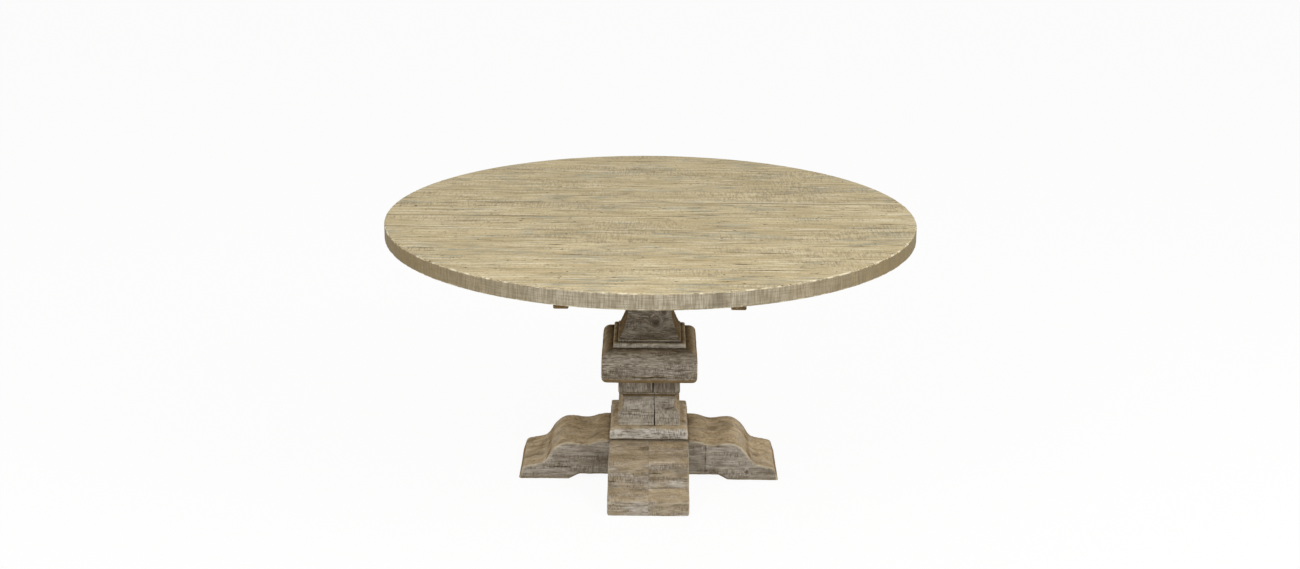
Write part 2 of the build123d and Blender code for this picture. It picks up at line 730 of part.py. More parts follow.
def make_leveller_pad(place):
    """A round foot with a socket that holds the stud's swivel under a lip."""
    x, y = place
    with BuildPart() as pad:
        with Locations((x, y, 0)):
            Cylinder(PAD_DIAMETER / 2, PAD_HEIGHT, align=UP)
        chamfer(pad.edges().filter_by(GeomType.CIRCLE), PAD_CHAMFER)
        with Locations((x, y, PAD_FLOOR)):
            Cylinder(
                SWIVEL_DIAMETER / 2 + MOVING_GAP,
                PAD_HEIGHT - PAD_FLOOR - PAD_LIP,
                align=UP,
                mode=Mode.SUBTRACT,
            )
            Cylinder(
                SWIVEL_NECK_DIAMETER / 2 + MOVING_GAP, PAD_HEIGHT, align=UP, mode=Mode.SUBTRACT
            )
    return pad


def make_leveller_stud(place):
    """A threaded stud with a swivel disc below and a hexagon collar for a spanner."""
    x, y = place
    with BuildPart() as stud:
        with Locations((x, y, SWIVEL_Z)):
            Cylinder(SWIVEL_DIAMETER / 2, SWIVEL_HEIGHT, align=UP)
            Cylinder(SWIVEL_NECK_DIAMETER / 2, COLLAR_Z - SWIVEL_Z, align=UP)
        with BuildSketch(Plane.XY.offset(COLLAR_Z)):
            with Locations((x, y)):
                RegularPolygon(COLLAR_WIDTH / 2, 6, major_radius=False)
        extrude(amount=COLLAR_HEIGHT)
        with Locations((x, y, THREAD_Z)):
            Cylinder(STUD_DIAMETER / 2, STUD_THREAD_LENGTH, align=UP)
        chamfer(stud.faces().sort_by(Axis.Z)[-1].edges(), STUD_TIP_CHAMFER)
    return stud


def main():
    os.makedirs("parts", exist_ok=True)

    disc = make_top_disc()
    for number, (low_y, high_y) in enumerate(pairwise(BOARD_EDGES), start=1):
        save(make_top_board(disc, low_y, high_y), f"top_board_{number:02d}")
    save(make_edge_dowels(), "edge_dowels")

    save(make_batten(-BATTEN_X), "batten_left")
    save(make_batten(BATTEN_X), "batten_right")
    save(make_batten_screws(), "batten_screws")
    save(make_batten_washers(), "batten_washers")

    save(make_head_plate(), "head_plate")
    save(make_plate_bolts(), "plate_bolts")
    save(make_plate_washers(), "plate_washers")
    save(make_thread_inserts(), "thread_inserts")

    save(make_square_block(draw_cap), "cap_block")
    save(make_square_block(draw_shaft), "shaft")
    save(make_square_block(draw_moulding), "neck_moulding")
    save(make_square_block(draw_cushion), "cushion_block")
    save(make_half_block(draw_neck, NECK_JOINT_X, Keep.BOTTOM), "neck_block_left")
    save(make_half_block(draw_neck, NECK_JOINT_X, Keep.TOP), "neck_block_right")
    save(make_half_block(draw_urn, URN_JOINT_X, Keep.BOTTOM), "urn_block_left")
    save(make_half_block(draw_urn, URN_JOINT_X, Keep.TOP), "urn_block_right")
    save(make_square_block(draw_plinth), "plinth")
    save(make_column_dowels(), "column_dowels")

    save(make_tie_rod(), "tie_rod")
    save(make_tie_rod_nuts(), "tie_rod_nuts")
    save(make_tie_rod_washers(), "tie_rod_washers")

    save(make_foot_board(Plane.XZ, 1), "side_foot_board_front")
    save(make_foot_board(Plane.XZ, -1), "side_foot_board_back")
    save(make_foot_board(Plane.YZ, -1), "front_foot_board_left")
    save(make_foot_board(Plane.YZ, 1), "front_foot_board_right")
    save(make_foot_dowels(), "foot_dowels")

    save(make_leveller_nuts(), "leveller_nuts")
    for side, place in LEVELLER_PLACES.items():
        save(make_leveller_pad(place), f"leveller_pad_{side}")
        save(make_leveller_stud(place), f"leveller_stud_{side}")


main()
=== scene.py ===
# %% [markdown]
# # Round pedestal table in reclaimed pine
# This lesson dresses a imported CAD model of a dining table. The CAD nodes give every size and
# place and are never moved. They are crisp, as CAD is, and the real table is old timber with
# rubbed corners, open joints and saw marks. So each wooden piece that shows is modelled again
# here over its CAD node, worn, and put in the node's place. The hidden hardware and the two battens
# under the top stay as they are and only get a finish.

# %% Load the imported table
import json
from itertools import pairwise
from math import cos, hypot, pi, radians, sin, sqrt

import bmesh
import bpy
import numpy as np
from mathutils import Matrix, Vector


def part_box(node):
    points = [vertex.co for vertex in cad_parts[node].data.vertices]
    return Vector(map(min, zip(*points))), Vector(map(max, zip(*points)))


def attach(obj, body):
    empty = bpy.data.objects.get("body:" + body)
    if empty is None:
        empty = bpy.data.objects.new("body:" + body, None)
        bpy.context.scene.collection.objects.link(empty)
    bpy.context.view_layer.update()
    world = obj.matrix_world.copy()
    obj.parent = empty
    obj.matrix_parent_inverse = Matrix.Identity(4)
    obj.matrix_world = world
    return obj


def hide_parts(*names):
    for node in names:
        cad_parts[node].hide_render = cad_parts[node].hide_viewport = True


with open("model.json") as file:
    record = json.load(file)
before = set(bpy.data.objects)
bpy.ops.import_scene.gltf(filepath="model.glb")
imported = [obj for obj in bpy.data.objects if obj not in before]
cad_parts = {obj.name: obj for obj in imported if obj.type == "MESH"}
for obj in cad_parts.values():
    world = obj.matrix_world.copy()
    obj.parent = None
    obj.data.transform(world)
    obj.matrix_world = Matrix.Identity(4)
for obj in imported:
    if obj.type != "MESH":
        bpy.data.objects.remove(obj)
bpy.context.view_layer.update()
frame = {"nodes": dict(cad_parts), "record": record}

MM = 0.001
nodes = frame["nodes"]

# %% [markdown]
# ## Working by operator
# Every tool in Blender's menus is also an operator that a script can call. An operator acts on
# whatever is selected, and the loaded nodes start out selected, so each step first selects the
# one piece that it means. Edges and faces are then picked by where they lie.


# %% Helpers for selecting
SMALL = 0.05 * MM


def only(piece):
    """Leave edit mode, then select this piece alone."""
    if bpy.context.object and bpy.context.object.mode == "EDIT":
        bpy.ops.object.mode_set(mode="OBJECT")
    bpy.ops.object.select_all(action="DESELECT")
    piece.select_set(True)
    bpy.context.view_layer.objects.active = piece


def edit(piece, kind="EDGE"):
    """Open one piece in edit mode, with nothing selected."""
    only(piece)
    bpy.ops.object.mode_set(mode="EDIT")
    bpy.ops.mesh.select_mode(type=kind)
    bpy.ops.mesh.select_all(action="DESELECT")


def pick(piece, kind, test):
    """In edit mode, select the edges or faces that pass a test of where they lie."""
    mesh = bmesh.from_edit_mesh(piece.data)
    chosen = [part for part in getattr(mesh, kind) if test(part)]
    for part in chosen:
        part.select_set(True)
    mesh.select_flush_mode()
    bmesh.update_edit_mesh(piece.data)
    return len(chosen)


print("CAD nodes loaded:", len(nodes))

# %% [markdown]
# ## The round top
# The top is twelve thick boards, glued edge to edge and sawn round. It could be built board by
# board, but the maker cut the circle last. So a whole disc is made first, its rim is rounded and
# dented, and only then is it sliced at the seams: the wear runs on from board to board, as on
# the real rim. The disc has over a thousand sides, so that the rim looks round close up.

# %% A whole disc with a rounded rim
board_names = sorted(name for name in nodes if name.startswith("top_board"))
board_boxes = [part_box(name) for name in board_names]
TOP_RADIUS = round(max(high.x for low, high in board_boxes), 3)
TOP_Z = board_boxes[0][1].z
UNDERSIDE_Z = board_boxes[0][0].z
RIM_SIDES, RIM_ROUND, RIM_STEPS = 1080, 4 * MM, 5

bpy.ops.object.select_all(action="DESELECT")
bpy.ops.mesh.primitive_cylinder_add(
    vertices=RIM_SIDES,
    radius=TOP_RADIUS,
    depth=TOP_Z - UNDERSIDE_Z,
    location=(0, 0, (TOP_Z + UNDERSIDE_Z) / 2),
)
disc = bpy.context.object
disc.name = "top_disc"
bpy.ops.object.transform_apply(location=True)
edit(disc)
rim_edges = pick(disc, "edges", lambda e: abs(e.verts[0].co.z - e.verts[1].co.z) < SMALL)
bpy.ops.mesh.bevel(offset=RIM_ROUND, segments=RIM_STEPS, affect="EDGES")
print("rim edges rounded:", rim_edges)

# %% [markdown]
# A rim that has been knocked by chairs for years isn't an even curve. A Displace modifier pushes
# the rounded edge inwards where a cloudy texture is dark. A vertex group holds it to the edge,
# and the texture's colour ramp leaves most of the rim alone and bites only here and there. The
# rounded edge is also marked as rubbed: each vertex stores a number that a material can read.


# %% Helpers for modifiers and marks
def modify(piece, kind, **settings):
    """Add one modifier with its settings and apply it, so that the piece is a plain mesh again."""
    only(piece)
    modifier = piece.modifiers.new(kind, kind)
    for name, value in settings.items():
        setattr(modifier, name, value)
    bpy.ops.object.modifier_apply(modifier=modifier.name)


def mark(piece, name, values):
    """Store one number per vertex, under a name that a material can read. A higher mark stays."""
    values = np.asarray(values, np.float32)
    layer = piece.data.attributes.get(name)
    if layer is None:
        layer = piece.data.attributes.new(name, "FLOAT", "POINT")
    else:
        kept = np.empty_like(values)
        layer.data.foreach_get("value", kept)
        values = np.maximum(values, kept)
    layer.data.foreach_set("value", values)


# %% Dents along the rim
DENT_SIZE, DENT_DEPTH = 14 * MM, 1.6 * MM
SIDE_SHARE = 0.25


def bite_texture(name, size, low, high):
    """Clouds whose dark spots are bites of about the given size, with untouched wood between."""
    texture = bpy.data.textures.new(name, "CLOUDS")
    texture.noise_scale = size
    texture.noise_depth = 2
    texture.use_color_ramp = True
    ramp = texture.color_ramp.elements
    ramp[0].position, ramp[0].color = low, (0, 0, 0, 1)
    ramp[1].position, ramp[1].color = high, (1, 1, 1, 1)
    return texture


only(disc)
worn_edge = disc.vertex_groups.new(name="worn_edge")
rubbed_rim = np.zeros(len(disc.data.vertices))
for vertex in disc.data.vertices:
    inside = TOP_RADIUS - hypot(vertex.co.x, vertex.co.y)
    from_flat = min(TOP_Z - vertex.co.z, vertex.co.z - UNDERSIDE_Z)
    if from_flat > SMALL:
        worn_edge.add([vertex.index], 1.0 if inside > SMALL else SIDE_SHARE, "REPLACE")
        rubbed_rim[vertex.index] = inside > SMALL
mark(disc, "rubbed", rubbed_rim)
modify(
    disc,
    "DISPLACE",
    texture=bite_texture("rim_dents", DENT_SIZE, 0.25, 0.5),
    texture_coords="LOCAL",
    mid_level=1.0,
    strength=DENT_DEPTH,
    vertex_group="worn_edge",
)
disc.vertex_groups.clear()
print("disc vertices:", len(disc.data.vertices))

# %% [markdown]
# Each board is a copy of the disc, cut off at both of its seams. The seam edges on the upper
# face are then eased a little, some more than others, because the boards have shrunk and moved
# by different amounts since they were glued. A few plain cuts beside and across the seams change
# no shape. They only add vertices there, to carry the marks of the next step.


# %% Helpers for cutting and copying
TINY = SMALL / 20


def slice_off(piece, point, normal):
    """Cut off what lies beyond a plane, on the side its normal points to, and close the cut."""
    edit(piece)
    bpy.ops.mesh.select_all(action="SELECT")
    bpy.ops.mesh.bisect(plane_co=point, plane_no=normal, use_fill=True, clear_outer=True)
    bpy.ops.object.mode_set(mode="OBJECT")


def clean(piece):
    """Split a cut piece's faces into triangles, and remove those that have no area."""
    edit(piece)
    bpy.ops.mesh.select_all(action="SELECT")
    bpy.ops.mesh.remove_doubles(threshold=TINY)
    bpy.ops.mesh.quads_convert_to_tris(ngon_method="BEAUTY")
    bpy.ops.mesh.select_all(action="SELECT")
    bpy.ops.mesh.dissolve_degenerate(threshold=TINY)
    bpy.ops.object.mode_set(mode="OBJECT")


def copy_of(piece, name):
    """A copy of a piece with a mesh of its own."""
    copy = piece.copy()
    copy.data = piece.data.copy()
    copy.name = name
    bpy.context.scene.collection.objects.link(copy)
    return copy


# %% Slice the disc into boards
SEAM_EASE = (0.7, 0.9, 0.7, 0.8, 0.7, 1.3, 1.8, 0.8, 0.7, 0.9, 0.7)  # mm, from the front seam back
DIRT_REACH, LIME_MIDDLE, LIME_END = 5 * MM, 11 * MM, 19 * MM
PLACES_X = (-0.4, -0.2, 0.2, 0.4)
boards = []
for number, (low, high) in enumerate(board_boxes):
    board = copy_of(disc, f"worn_{board_names[number]}")
    seams = []
    if number > 0:
        slice_off(board, (0, low.y, 0), (0, -1, 0))
        seams.append((low.y, SEAM_EASE[number - 1]))
    if number < len(board_boxes) - 1:
        slice_off(board, (0, high.y, 0), (0, 1, 0))
        seams.append((high.y, SEAM_EASE[number]))
    for seam_y, ease in seams:
        edit(board)
        pick(
            board,
            "edges",
            lambda e: all(abs(v.co.y - seam_y) < SMALL and TOP_Z - v.co.z < SMALL for v in e.verts),
        )
        bpy.ops.mesh.bevel(offset=ease * MM, segments=2, affect="EDGES")
        inwards = 1 if seam_y == low.y else -1
        for offset in (DIRT_REACH, LIME_MIDDLE, LIME_END):
            bpy.ops.mesh.select_all(action="SELECT")
            bpy.ops.mesh.bisect(plane_co=(0, seam_y + inwards * offset, 0), plane_no=(0, 1, 0))
    for cut_x in PLACES_X:
        bpy.ops.mesh.select_all(action="SELECT")
        bpy.ops.mesh.bisect(plane_co=(cut_x, 0, 0), plane_no=(1, 0, 0))
    clean(board)
    boards.append(board)
bpy.data.objects.remove(disc)
print("boards:", len(boards), "with", sum(len(b.data.vertices) for b in boards), "vertices")

# %% [markdown]
# The materials need to know where a seam lies and where water has run down the front of the rim.
# Each board stores that on its vertices, as the disc did for its rubbed edge. Dirt has settled in
# two of the seams most, in one at the left and in one at the right, and lime was left beside the
# second. The amount of dirt is given at the places where the boards were cut across.


# %% Mark the seams and a stain
def places_of(piece):
    """Where the vertices of a piece lie, one row each."""
    places = np.empty(len(piece.data.vertices) * 3)
    piece.data.vertices.foreach_get("co", places)
    return places.reshape(-1, 3)


DIRTY_SEAM, LIMED_SEAM = 5, 6
SEAM_DIRT = {DIRTY_SEAM: (0.8, 0.2, 0.15, 0.2), LIMED_SEAM: (0.1, 0.1, 0.45, 0.8)}
FAINT_DIRT = (0.2, 0.1, 0.15, 0.2)
SEAM_WIDTH, SEAM_DEPTH = 1.2 * MM, 2 * MM
STAIN_X, STAIN_WIDTH = 0.173, 0.020
for number, board in enumerate(boards):
    low, high = board_boxes[number]
    places = places_of(board)
    on_rim = np.hypot(places[:, 0], places[:, 1]) > TOP_RADIUS - 2 * RIM_ROUND
    below = TOP_Z - places[:, 2]
    from_seam = np.minimum(abs(places[:, 1] - low.y), abs(places[:, 1] - high.y))
    near_top = below < SEAM_DEPTH
    mark(board, "gap_and_shade", (from_seam < SEAM_WIDTH) & (below > 0.4 * SMALL) & near_top & ~on_rim)
    for seam, seam_y in ((number - 1, low.y), (number, high.y)):
        if 0 <= seam < len(SEAM_EASE):
            strength = np.interp(places[:, 0], PLACES_X, SEAM_DIRT.get(seam, FAINT_DIRT))
            away = abs(places[:, 1] - seam_y)
            mark(board, "dirt", strength * np.clip(1 - away / DIRT_REACH, 0, 1) * near_top)
            if seam == LIMED_SEAM and number == LIMED_SEAM + 1:
                beside = np.interp(away, (DIRT_REACH, LIME_MIDDLE, LIME_END), (0, 1, 0))
                mark(board, "lime", 0.6 * strength * beside * near_top)
    stained = np.exp(-(((places[:, 0] - STAIN_X) / STAIN_WIDTH) ** 2))
    mark(board, "stain", stained * on_rim * (places[:, 1] < 0))
print("seams and stain marked on", len(boards), "boards")

# %% [markdown]
# ## The square blocks of the pedestal
# The pedestal is a stack of square blocks, moulded alike on all four sides. A moulding that is
# round would be spun, but these are square, so each block starts as a plane at its foot. The
# plane is extruded up through a list of heights and scaled to the width that the block has
# there. Only the heights and widths differ from block to block.


# %% Extrude a block through its heights
def arc(width, height, radius, start, end, steps=8):
    """(height, width) along a quarter round, whose centre lies at half of width from the middle."""
    angles = [radians(start + (end - start) * step / steps) for step in range(steps + 1)]
    return [(height + radius * sin(a), width + 2 * radius * cos(a)) for a in angles]


def square_block(name, sections):
    """A square block, extruded up from a plane through (height, width) sections."""
    bpy.ops.object.select_all(action="DESELECT")
    bpy.ops.mesh.primitive_plane_add(size=sections[0][1], location=(0, 0, sections[0][0]))
    block = bpy.context.object
    block.name = name
    bpy.ops.object.transform_apply(location=True)
    bpy.ops.object.mode_set(mode="EDIT")
    for (low_z, low_width), (high_z, high_width) in pairwise(sections):
        bpy.ops.mesh.extrude_region_move(TRANSFORM_OT_translate={"value": (0, 0, high_z - low_z)})
        grow = high_width / low_width
        bpy.ops.transform.resize(value=(grow, grow, 1), center_override=(0, 0, high_z))
    bpy.ops.mesh.select_all(action="SELECT")
    bpy.ops.mesh.normals_make_consistent(inside=False)
    bpy.ops.object.mode_set(mode="OBJECT")
    print(name, "has", len(block.data.polygons), "faces")
    return block


def span(*names):
    """Width, foot height and head height of the CAD nodes that make up one block."""
    boxes = [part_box(name) for name in names]
    width = max(high.y - low.y for low, high in boxes)
    return width, min(low.z for low, high in boxes), max(high.z for low, high in boxes)


# %% [markdown]
# The sizes come from the CAD boxes, and the rounds and hollows are named here. The shaft is
# waisted: its sides are one long hollow arc, found from its width at the ends and the waist.

# %% The cap and the shaft
CAP_ROUND = 15 * MM
SHAFT_WAIST, SHAFT_STEPS = 119 * MM, 24

width, foot, head = span("cap_block")
cap = square_block(
    "worn_cap", arc(width - 2 * CAP_ROUND, foot + CAP_ROUND, CAP_ROUND, -90, 0) + [(head, width)]
)

width, foot, head = span("shaft")
sag, half = (width - SHAFT_WAIST) / 2, (head - foot) / 2
bow = (half**2 + sag**2) / (2 * sag)
rises = [foot + (head - foot) * step / SHAFT_STEPS for step in range(SHAFT_STEPS + 1)]
hollow = [SHAFT_WAIST + 2 * (bow - sqrt(bow**2 - (z - foot - half) ** 2)) for z in rises]
shaft = square_block("worn_shaft", list(zip(rises, hollow)))

# %% [markdown]
# Under the shaft lie a thin board with a rounded step and a thick block like a cushion. The cushion
# is rounder above than below.

# %% The moulding and the cushion block
STEP_HEIGHT, STEP_WIDTH, STEP_ROUND = 14 * MM, 183 * MM, 5 * MM
CUSHION_TOP_ROUND, CUSHION_LOW_ROUND = 28 * MM, 20 * MM

width, foot, head = span("neck_moulding")
step_z = foot + STEP_HEIGHT
moulding = square_block(
    "worn_moulding",
    [(foot, width)]
    + arc(width - 2 * STEP_ROUND, step_z - STEP_ROUND, STEP_ROUND, 0, 90)
    + [(step_z, STEP_WIDTH), (head, STEP_WIDTH)],
)

width, foot, head = span("cushion_block")
cushion = square_block(
    "worn_cushion",
    arc(width - 2 * CUSHION_LOW_ROUND, foot + CUSHION_LOW_ROUND, CUSHION_LOW_ROUND, -90, 0)
    + arc(width - 2 * CUSHION_TOP_ROUND, head - CUSHION_TOP_ROUND, CUSHION_TOP_ROUND, 0, 90),
)

# %% [markdown]
# The collar is a plain square. The base below it has two hollows, a deep one and a shallow one under
# its lip, and the plinth is a board with a rounded upper edge.

# %% The collar, the base and the plinth
URN_FOOT, URN_THROAT, URN_LIP, URN_LIP_HEIGHT = 46 * MM, 150 * MM, 177 * MM, 6 * MM
PLINTH_ROUND, PLINTH_CHAMFER = 15 * MM, 4 * MM

width, foot, head = span("neck_block_left", "neck_block_right")
neck = square_block("worn_neck", [(foot, width), (head, width)])

width, foot, head = span("urn_block_left", "urn_block_right")
low_cove, high_cove = (width - URN_THROAT) / 2, (URN_LIP - URN_THROAT) / 2
urn = square_block(
    "worn_urn",
    [(foot, width)]
    + arc(width, foot + URN_FOOT + low_cove, low_cove, -90, -180)
    + arc(URN_LIP, head - URN_LIP_HEIGHT - high_cove, high_cove, 180, 90)
    + [(head, URN_LIP)],
)

width, foot, head = span("plinth")
plinth = square_block(
    "worn_plinth",
    [(foot, width - 2 * PLINTH_CHAMFER), (foot + PLINTH_CHAMFER, width)]
    + arc(width - 2 * PLINTH_ROUND, head - PLINTH_ROUND, PLINTH_ROUND, 0, 90),
)

# %% [markdown]
# ## The scrolled feet
# Two beams cross under the pedestal, and each is sawn to the same scrolled outline. The outline
# could be traced again point by point, but the CAD board already has it as its side face. So a
# copy of that board is merged, all but the side face is deleted, and the face is extruded across
# to the beam's full width.


# %% Extrude a beam from a CAD side face
def on_axis(across, value):
    """A vector with one value, on the axis numbered across."""
    return [value if axis == across else 0 for axis in range(3)]


def scrolled_beam(name, board, across, near, far):
    """A beam from a board's side face at near, extruded to far along the axis numbered across."""
    beam = bpy.data.objects.new(name, nodes[board].data.copy())
    bpy.context.scene.collection.objects.link(beam)
    edit(beam, "VERT")
    bpy.ops.mesh.select_all(action="SELECT")
    bpy.ops.mesh.remove_doubles(threshold=SMALL / 10)
    bpy.ops.mesh.select_all(action="DESELECT")
    bpy.ops.mesh.select_mode(type="FACE")
    pick(beam, "faces", lambda f: any(abs(v.co[across] - near) > SMALL for v in f.verts))
    bpy.ops.mesh.delete(type="FACE")
    bpy.ops.mesh.select_all(action="SELECT")
    bpy.ops.mesh.dissolve_limited(angle_limit=radians(1))
    bpy.ops.mesh.select_all(action="SELECT")
    bpy.ops.mesh.extrude_region_move(TRANSFORM_OT_translate={"value": on_axis(across, far - near)})
    bpy.ops.mesh.select_all(action="SELECT")
    bpy.ops.mesh.normals_make_consistent(inside=False)
    bpy.ops.object.mode_set(mode="OBJECT")
    print(name, "has", len(beam.data.polygons), "faces")
    return beam


side_front, side_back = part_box("side_foot_board_front"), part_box("side_foot_board_back")
front_left, front_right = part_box("front_foot_board_left"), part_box("front_foot_board_right")
side_beam = scrolled_beam("side_beam", "side_foot_board_front", 1, side_front[0].y, side_back[1].y)
front_beam = scrolled_beam("front_beam", "front_foot_board_left", 0, front_left[0].x, front_right[1].x)

# %% [markdown]
# Each sole has a round pocket for its screw leveller. A Boolean modifier cuts it with a cylinder,
# a little wider than the pad that moves in it.

# %% Pockets for the levellers
POCKET_GAP, POCKET_SIDES = 4 * MM, 64
beams = {"front": front_beam, "back": front_beam, "left": side_beam, "right": side_beam}
flange_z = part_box("leveller_nuts")[0].z
for side, beam in beams.items():
    low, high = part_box(f"leveller_pad_{side}")
    bpy.ops.object.select_all(action="DESELECT")
    bpy.ops.mesh.primitive_cylinder_add(
        vertices=POCKET_SIDES,
        radius=(high.x - low.x) / 2 + POCKET_GAP,
        depth=2 * flange_z,
        location=((low.x + high.x) / 2, (low.y + high.y) / 2, 0),
    )
    cutter = bpy.context.object
    modify(beam, "BOOLEAN", operation="DIFFERENCE", object=cutter, solver="EXACT")
    bpy.data.objects.remove(cutter)
print("beam faces after the pockets:", len(side_beam.data.polygons), len(front_beam.data.polygons))

# %% [markdown]
# ## Wear
# Old timber is never quite flat and its corners are rubbed and chipped. A voxel remesh gives every
# block an even skin of small faces, a Smooth modifier rounds the corners, and three Displace
# modifiers add wear: a slow waviness from hand planing, fine ridges along the grain where the
# soft wood has worn away, and bites out of the corners.


# %% Find the outer corners
FLAT_RISE, CORNER_RISE = 0.05, 0.17
SPREAD = 0.6


def corner_weights(mesh, places, voxel):
    """0 on flat and hollow faces, up to 1 on outer corners, which rise over the vertices beside them."""
    count = len(places)
    normals = np.empty(count * 3)
    mesh.vertices.foreach_get("normal", normals)
    ends = np.empty(len(mesh.edges) * 2, int)
    mesh.edges.foreach_get("vertices", ends)
    one, other = ends.reshape(-1, 2).T
    near = np.bincount(ends, minlength=count)
    around = np.zeros((count, 3))
    np.add.at(around, one, places[other])
    np.add.at(around, other, places[one])
    rise = np.einsum("ij,ij->i", places - around / near[:, None], normals.reshape(-1, 3)) / voxel
    weights = np.clip((rise - FLAT_RISE) / (CORNER_RISE - FLAT_RISE), 0, 1)
    spread = np.zeros(count)
    np.add.at(spread, one, weights[other])
    np.add.at(spread, other, weights[one])
    return np.maximum(weights, SPREAD * spread / near)


# %% Wear one block
GRAIN_AXES = {"X": (1, 0.03, 0.03), "Y": (0.03, 1, 0.03), "Z": (0.03, 0.03, 1)}
WAVE_DEPTH, RIDGE_DEPTH = 1.4 * MM, 0.7 * MM
waves = bpy.data.textures.new("planing_waves", "CLOUDS")
waves.noise_scale = 60 * MM
ridges = bpy.data.textures.new("grain_ridges", "CLOUDS")
ridges.noise_scale = 0.2
ridges.noise_depth = 2
chips = bite_texture("corner_chips", 16 * MM, 0.3, 0.52)


def wear(piece, voxel, grain, soften=3, chip=2.0, bare=1.0):
    """Remesh a block evenly, then round, ripple and chip it. bare is how pale its corners are."""
    modify(piece, "REMESH", mode="VOXEL", voxel_size=voxel * MM)
    modify(piece, "SMOOTH", factor=0.5, iterations=soften)
    modify(piece, "DISPLACE", texture=waves, texture_coords="LOCAL", strength=WAVE_DEPTH)
    stretch = bpy.data.objects.new("grain_stretch", None)
    bpy.context.scene.collection.objects.link(stretch)
    stretch.scale = GRAIN_AXES[grain]
    bpy.context.view_layer.update()
    modify(
        piece,
        "DISPLACE",
        texture=ridges,
        texture_coords="OBJECT",
        texture_coords_object=stretch,
        strength=RIDGE_DEPTH,
    )
    bpy.data.objects.remove(stretch)
    weights = corner_weights(piece.data, places_of(piece), voxel * MM)
    corners = piece.vertex_groups.new(name="corners")
    for index in np.flatnonzero(weights > 0.02):
        corners.add([int(index)], float(weights[index]), "REPLACE")
    modify(
        piece,
        "DISPLACE",
        texture=chips,
        texture_coords="LOCAL",
        mid_level=1.0,
        strength=chip * MM,
        vertex_group="corners",
    )
    piece.vertex_groups.clear()
    mark(piece, "rubbed", bare * weights)
    mark(piece, "gap_and_shade", np.zeros(len(weights)))
    print(piece.name, "worn,", len(piece.data.polygons), "faces")


wear(cap, 3.0, "X")
wear(shaft, 2.4, "X", soften=2, bare=0.0)
wear(moulding, 1.8, "X", soften=2, chip=1.2)
wear(cushion, 2.4, "X", soften=4, bare=0.3)
wear(neck, 1.9, "Z", bare=0.5)
wear(urn, 1.9, "X", bare=0.2)
wear(plinth, 2.2, "X")
wear(side_beam, 3.0, "X")
wear(front_beam, 3.0, "Y", bare=0.6)

# %% [markdown]
# ## Joints and splits
# The collar and the moulded base are each glued from two pieces, and so are the foot beams. Every
# joint is cut after the wear, so that both pieces carry on the same worn surface. First a V is
# scored along the joint, right round the block: three cuts add rows of vertices and the middle
# row is pushed in. Then the block is cut in two along the V.


# %% Score a joint and cut along it
def score(piece, across, joint, width, depth, dark):
    """Press a V where the plane of a joint meets the surface, and mark how dark it is."""
    edit(piece)
    for offset in (-width / 2, width / 2, 0):
        point = on_axis(across, joint + offset)
        bpy.ops.mesh.select_all(action="SELECT")
        bpy.ops.mesh.bisect(plane_co=point, plane_no=on_axis(across, 1))
    bpy.ops.object.mode_set(mode="OBJECT")
    pressed = [v for v in piece.data.vertices if abs(v.co[across] - joint) < SMALL / 10]
    moves = [(v.index, v.co - v.normal * depth) for v in pressed]
    for index, place in moves:
        piece.data.vertices[index].co = place
        piece.data.attributes["gap_and_shade"].data[index].value = dark
    print(piece.name, "scored at", len(moves), "vertices")


def cut_in_two(whole, names, across, joint):
    """Two pieces that meet at a joint."""
    halves = []
    for name, side in zip(names, (-1, 1)):
        half = copy_of(whole, name)
        slice_off(half, on_axis(across, joint), on_axis(across, -side))
        halves.append(half)
    bpy.data.objects.remove(whole)
    return halves


neck_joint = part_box("neck_block_left")[1].x
urn_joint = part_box("urn_block_left")[1].x
score(neck, 0, neck_joint, 2.4 * MM, 1.6 * MM, 1.0)
score(urn, 0, urn_joint, 2.4 * MM, 1.6 * MM, 0.6)
score(side_beam, 1, 0, 2.0 * MM, 0.8 * MM, 0.5)
score(front_beam, 0, 0, 2.0 * MM, 0.4 * MM, 0.15)
neck_halves = cut_in_two(neck, ("worn_neck_left", "worn_neck_right"), 0, neck_joint)
urn_halves = cut_in_two(urn, ("worn_urn_left", "worn_urn_right"), 0, urn_joint)
side_boards = cut_in_two(side_beam, ("worn_side_front", "worn_side_back"), 1, 0)
front_boards = cut_in_two(front_beam, ("worn_front_left", "worn_front_right"), 0, 0)

# %% [markdown]
# Two of the joints have come open at the front as the timber dried: the collar's most at its head
# and the base's most at its foot. A wedge is sliced off both pieces there. It closes further in,
# so that no light falls through.


# %% Open the two front joints
def open_joint(halves, joint, front, depth, low, high):
    """Slice a wedge off both sides of a joint. low and high are (height, width of the opening)."""
    rise = (high[1] - low[1]) / 2 / (high[0] - low[0])
    close = (high[1] + low[1]) / 4 / depth
    for half, side in zip(halves, (-1, 1)):
        point = (joint + side * low[1] / 2, front, low[0])
        slice_off(half, point, (-side, -close, rise))
        clean(half)
        print(half.name, "opened")


low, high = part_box("neck_block_left")
open_joint(neck_halves, neck_joint, low.y, 70 * MM, (low.z, 3.1 * MM), (high.z, 5.2 * MM))
low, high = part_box("urn_block_left")
open_joint(urn_halves, urn_joint, low.y, 60 * MM, (low.z, 4.4 * MM), (high.z, 0.4 * MM))

# %% [markdown]
# Blocks this thick split as they dry. A split is sunk into a worn face by moving the vertices
# beside its line inwards, deepest in the middle and fading to both ends, and the same vertices
# are marked so that the material can darken them.


# %% Sink the drying splits
SPLIT_WANDER, SPLIT_REACH = 1.2 * MM, 15 * MM


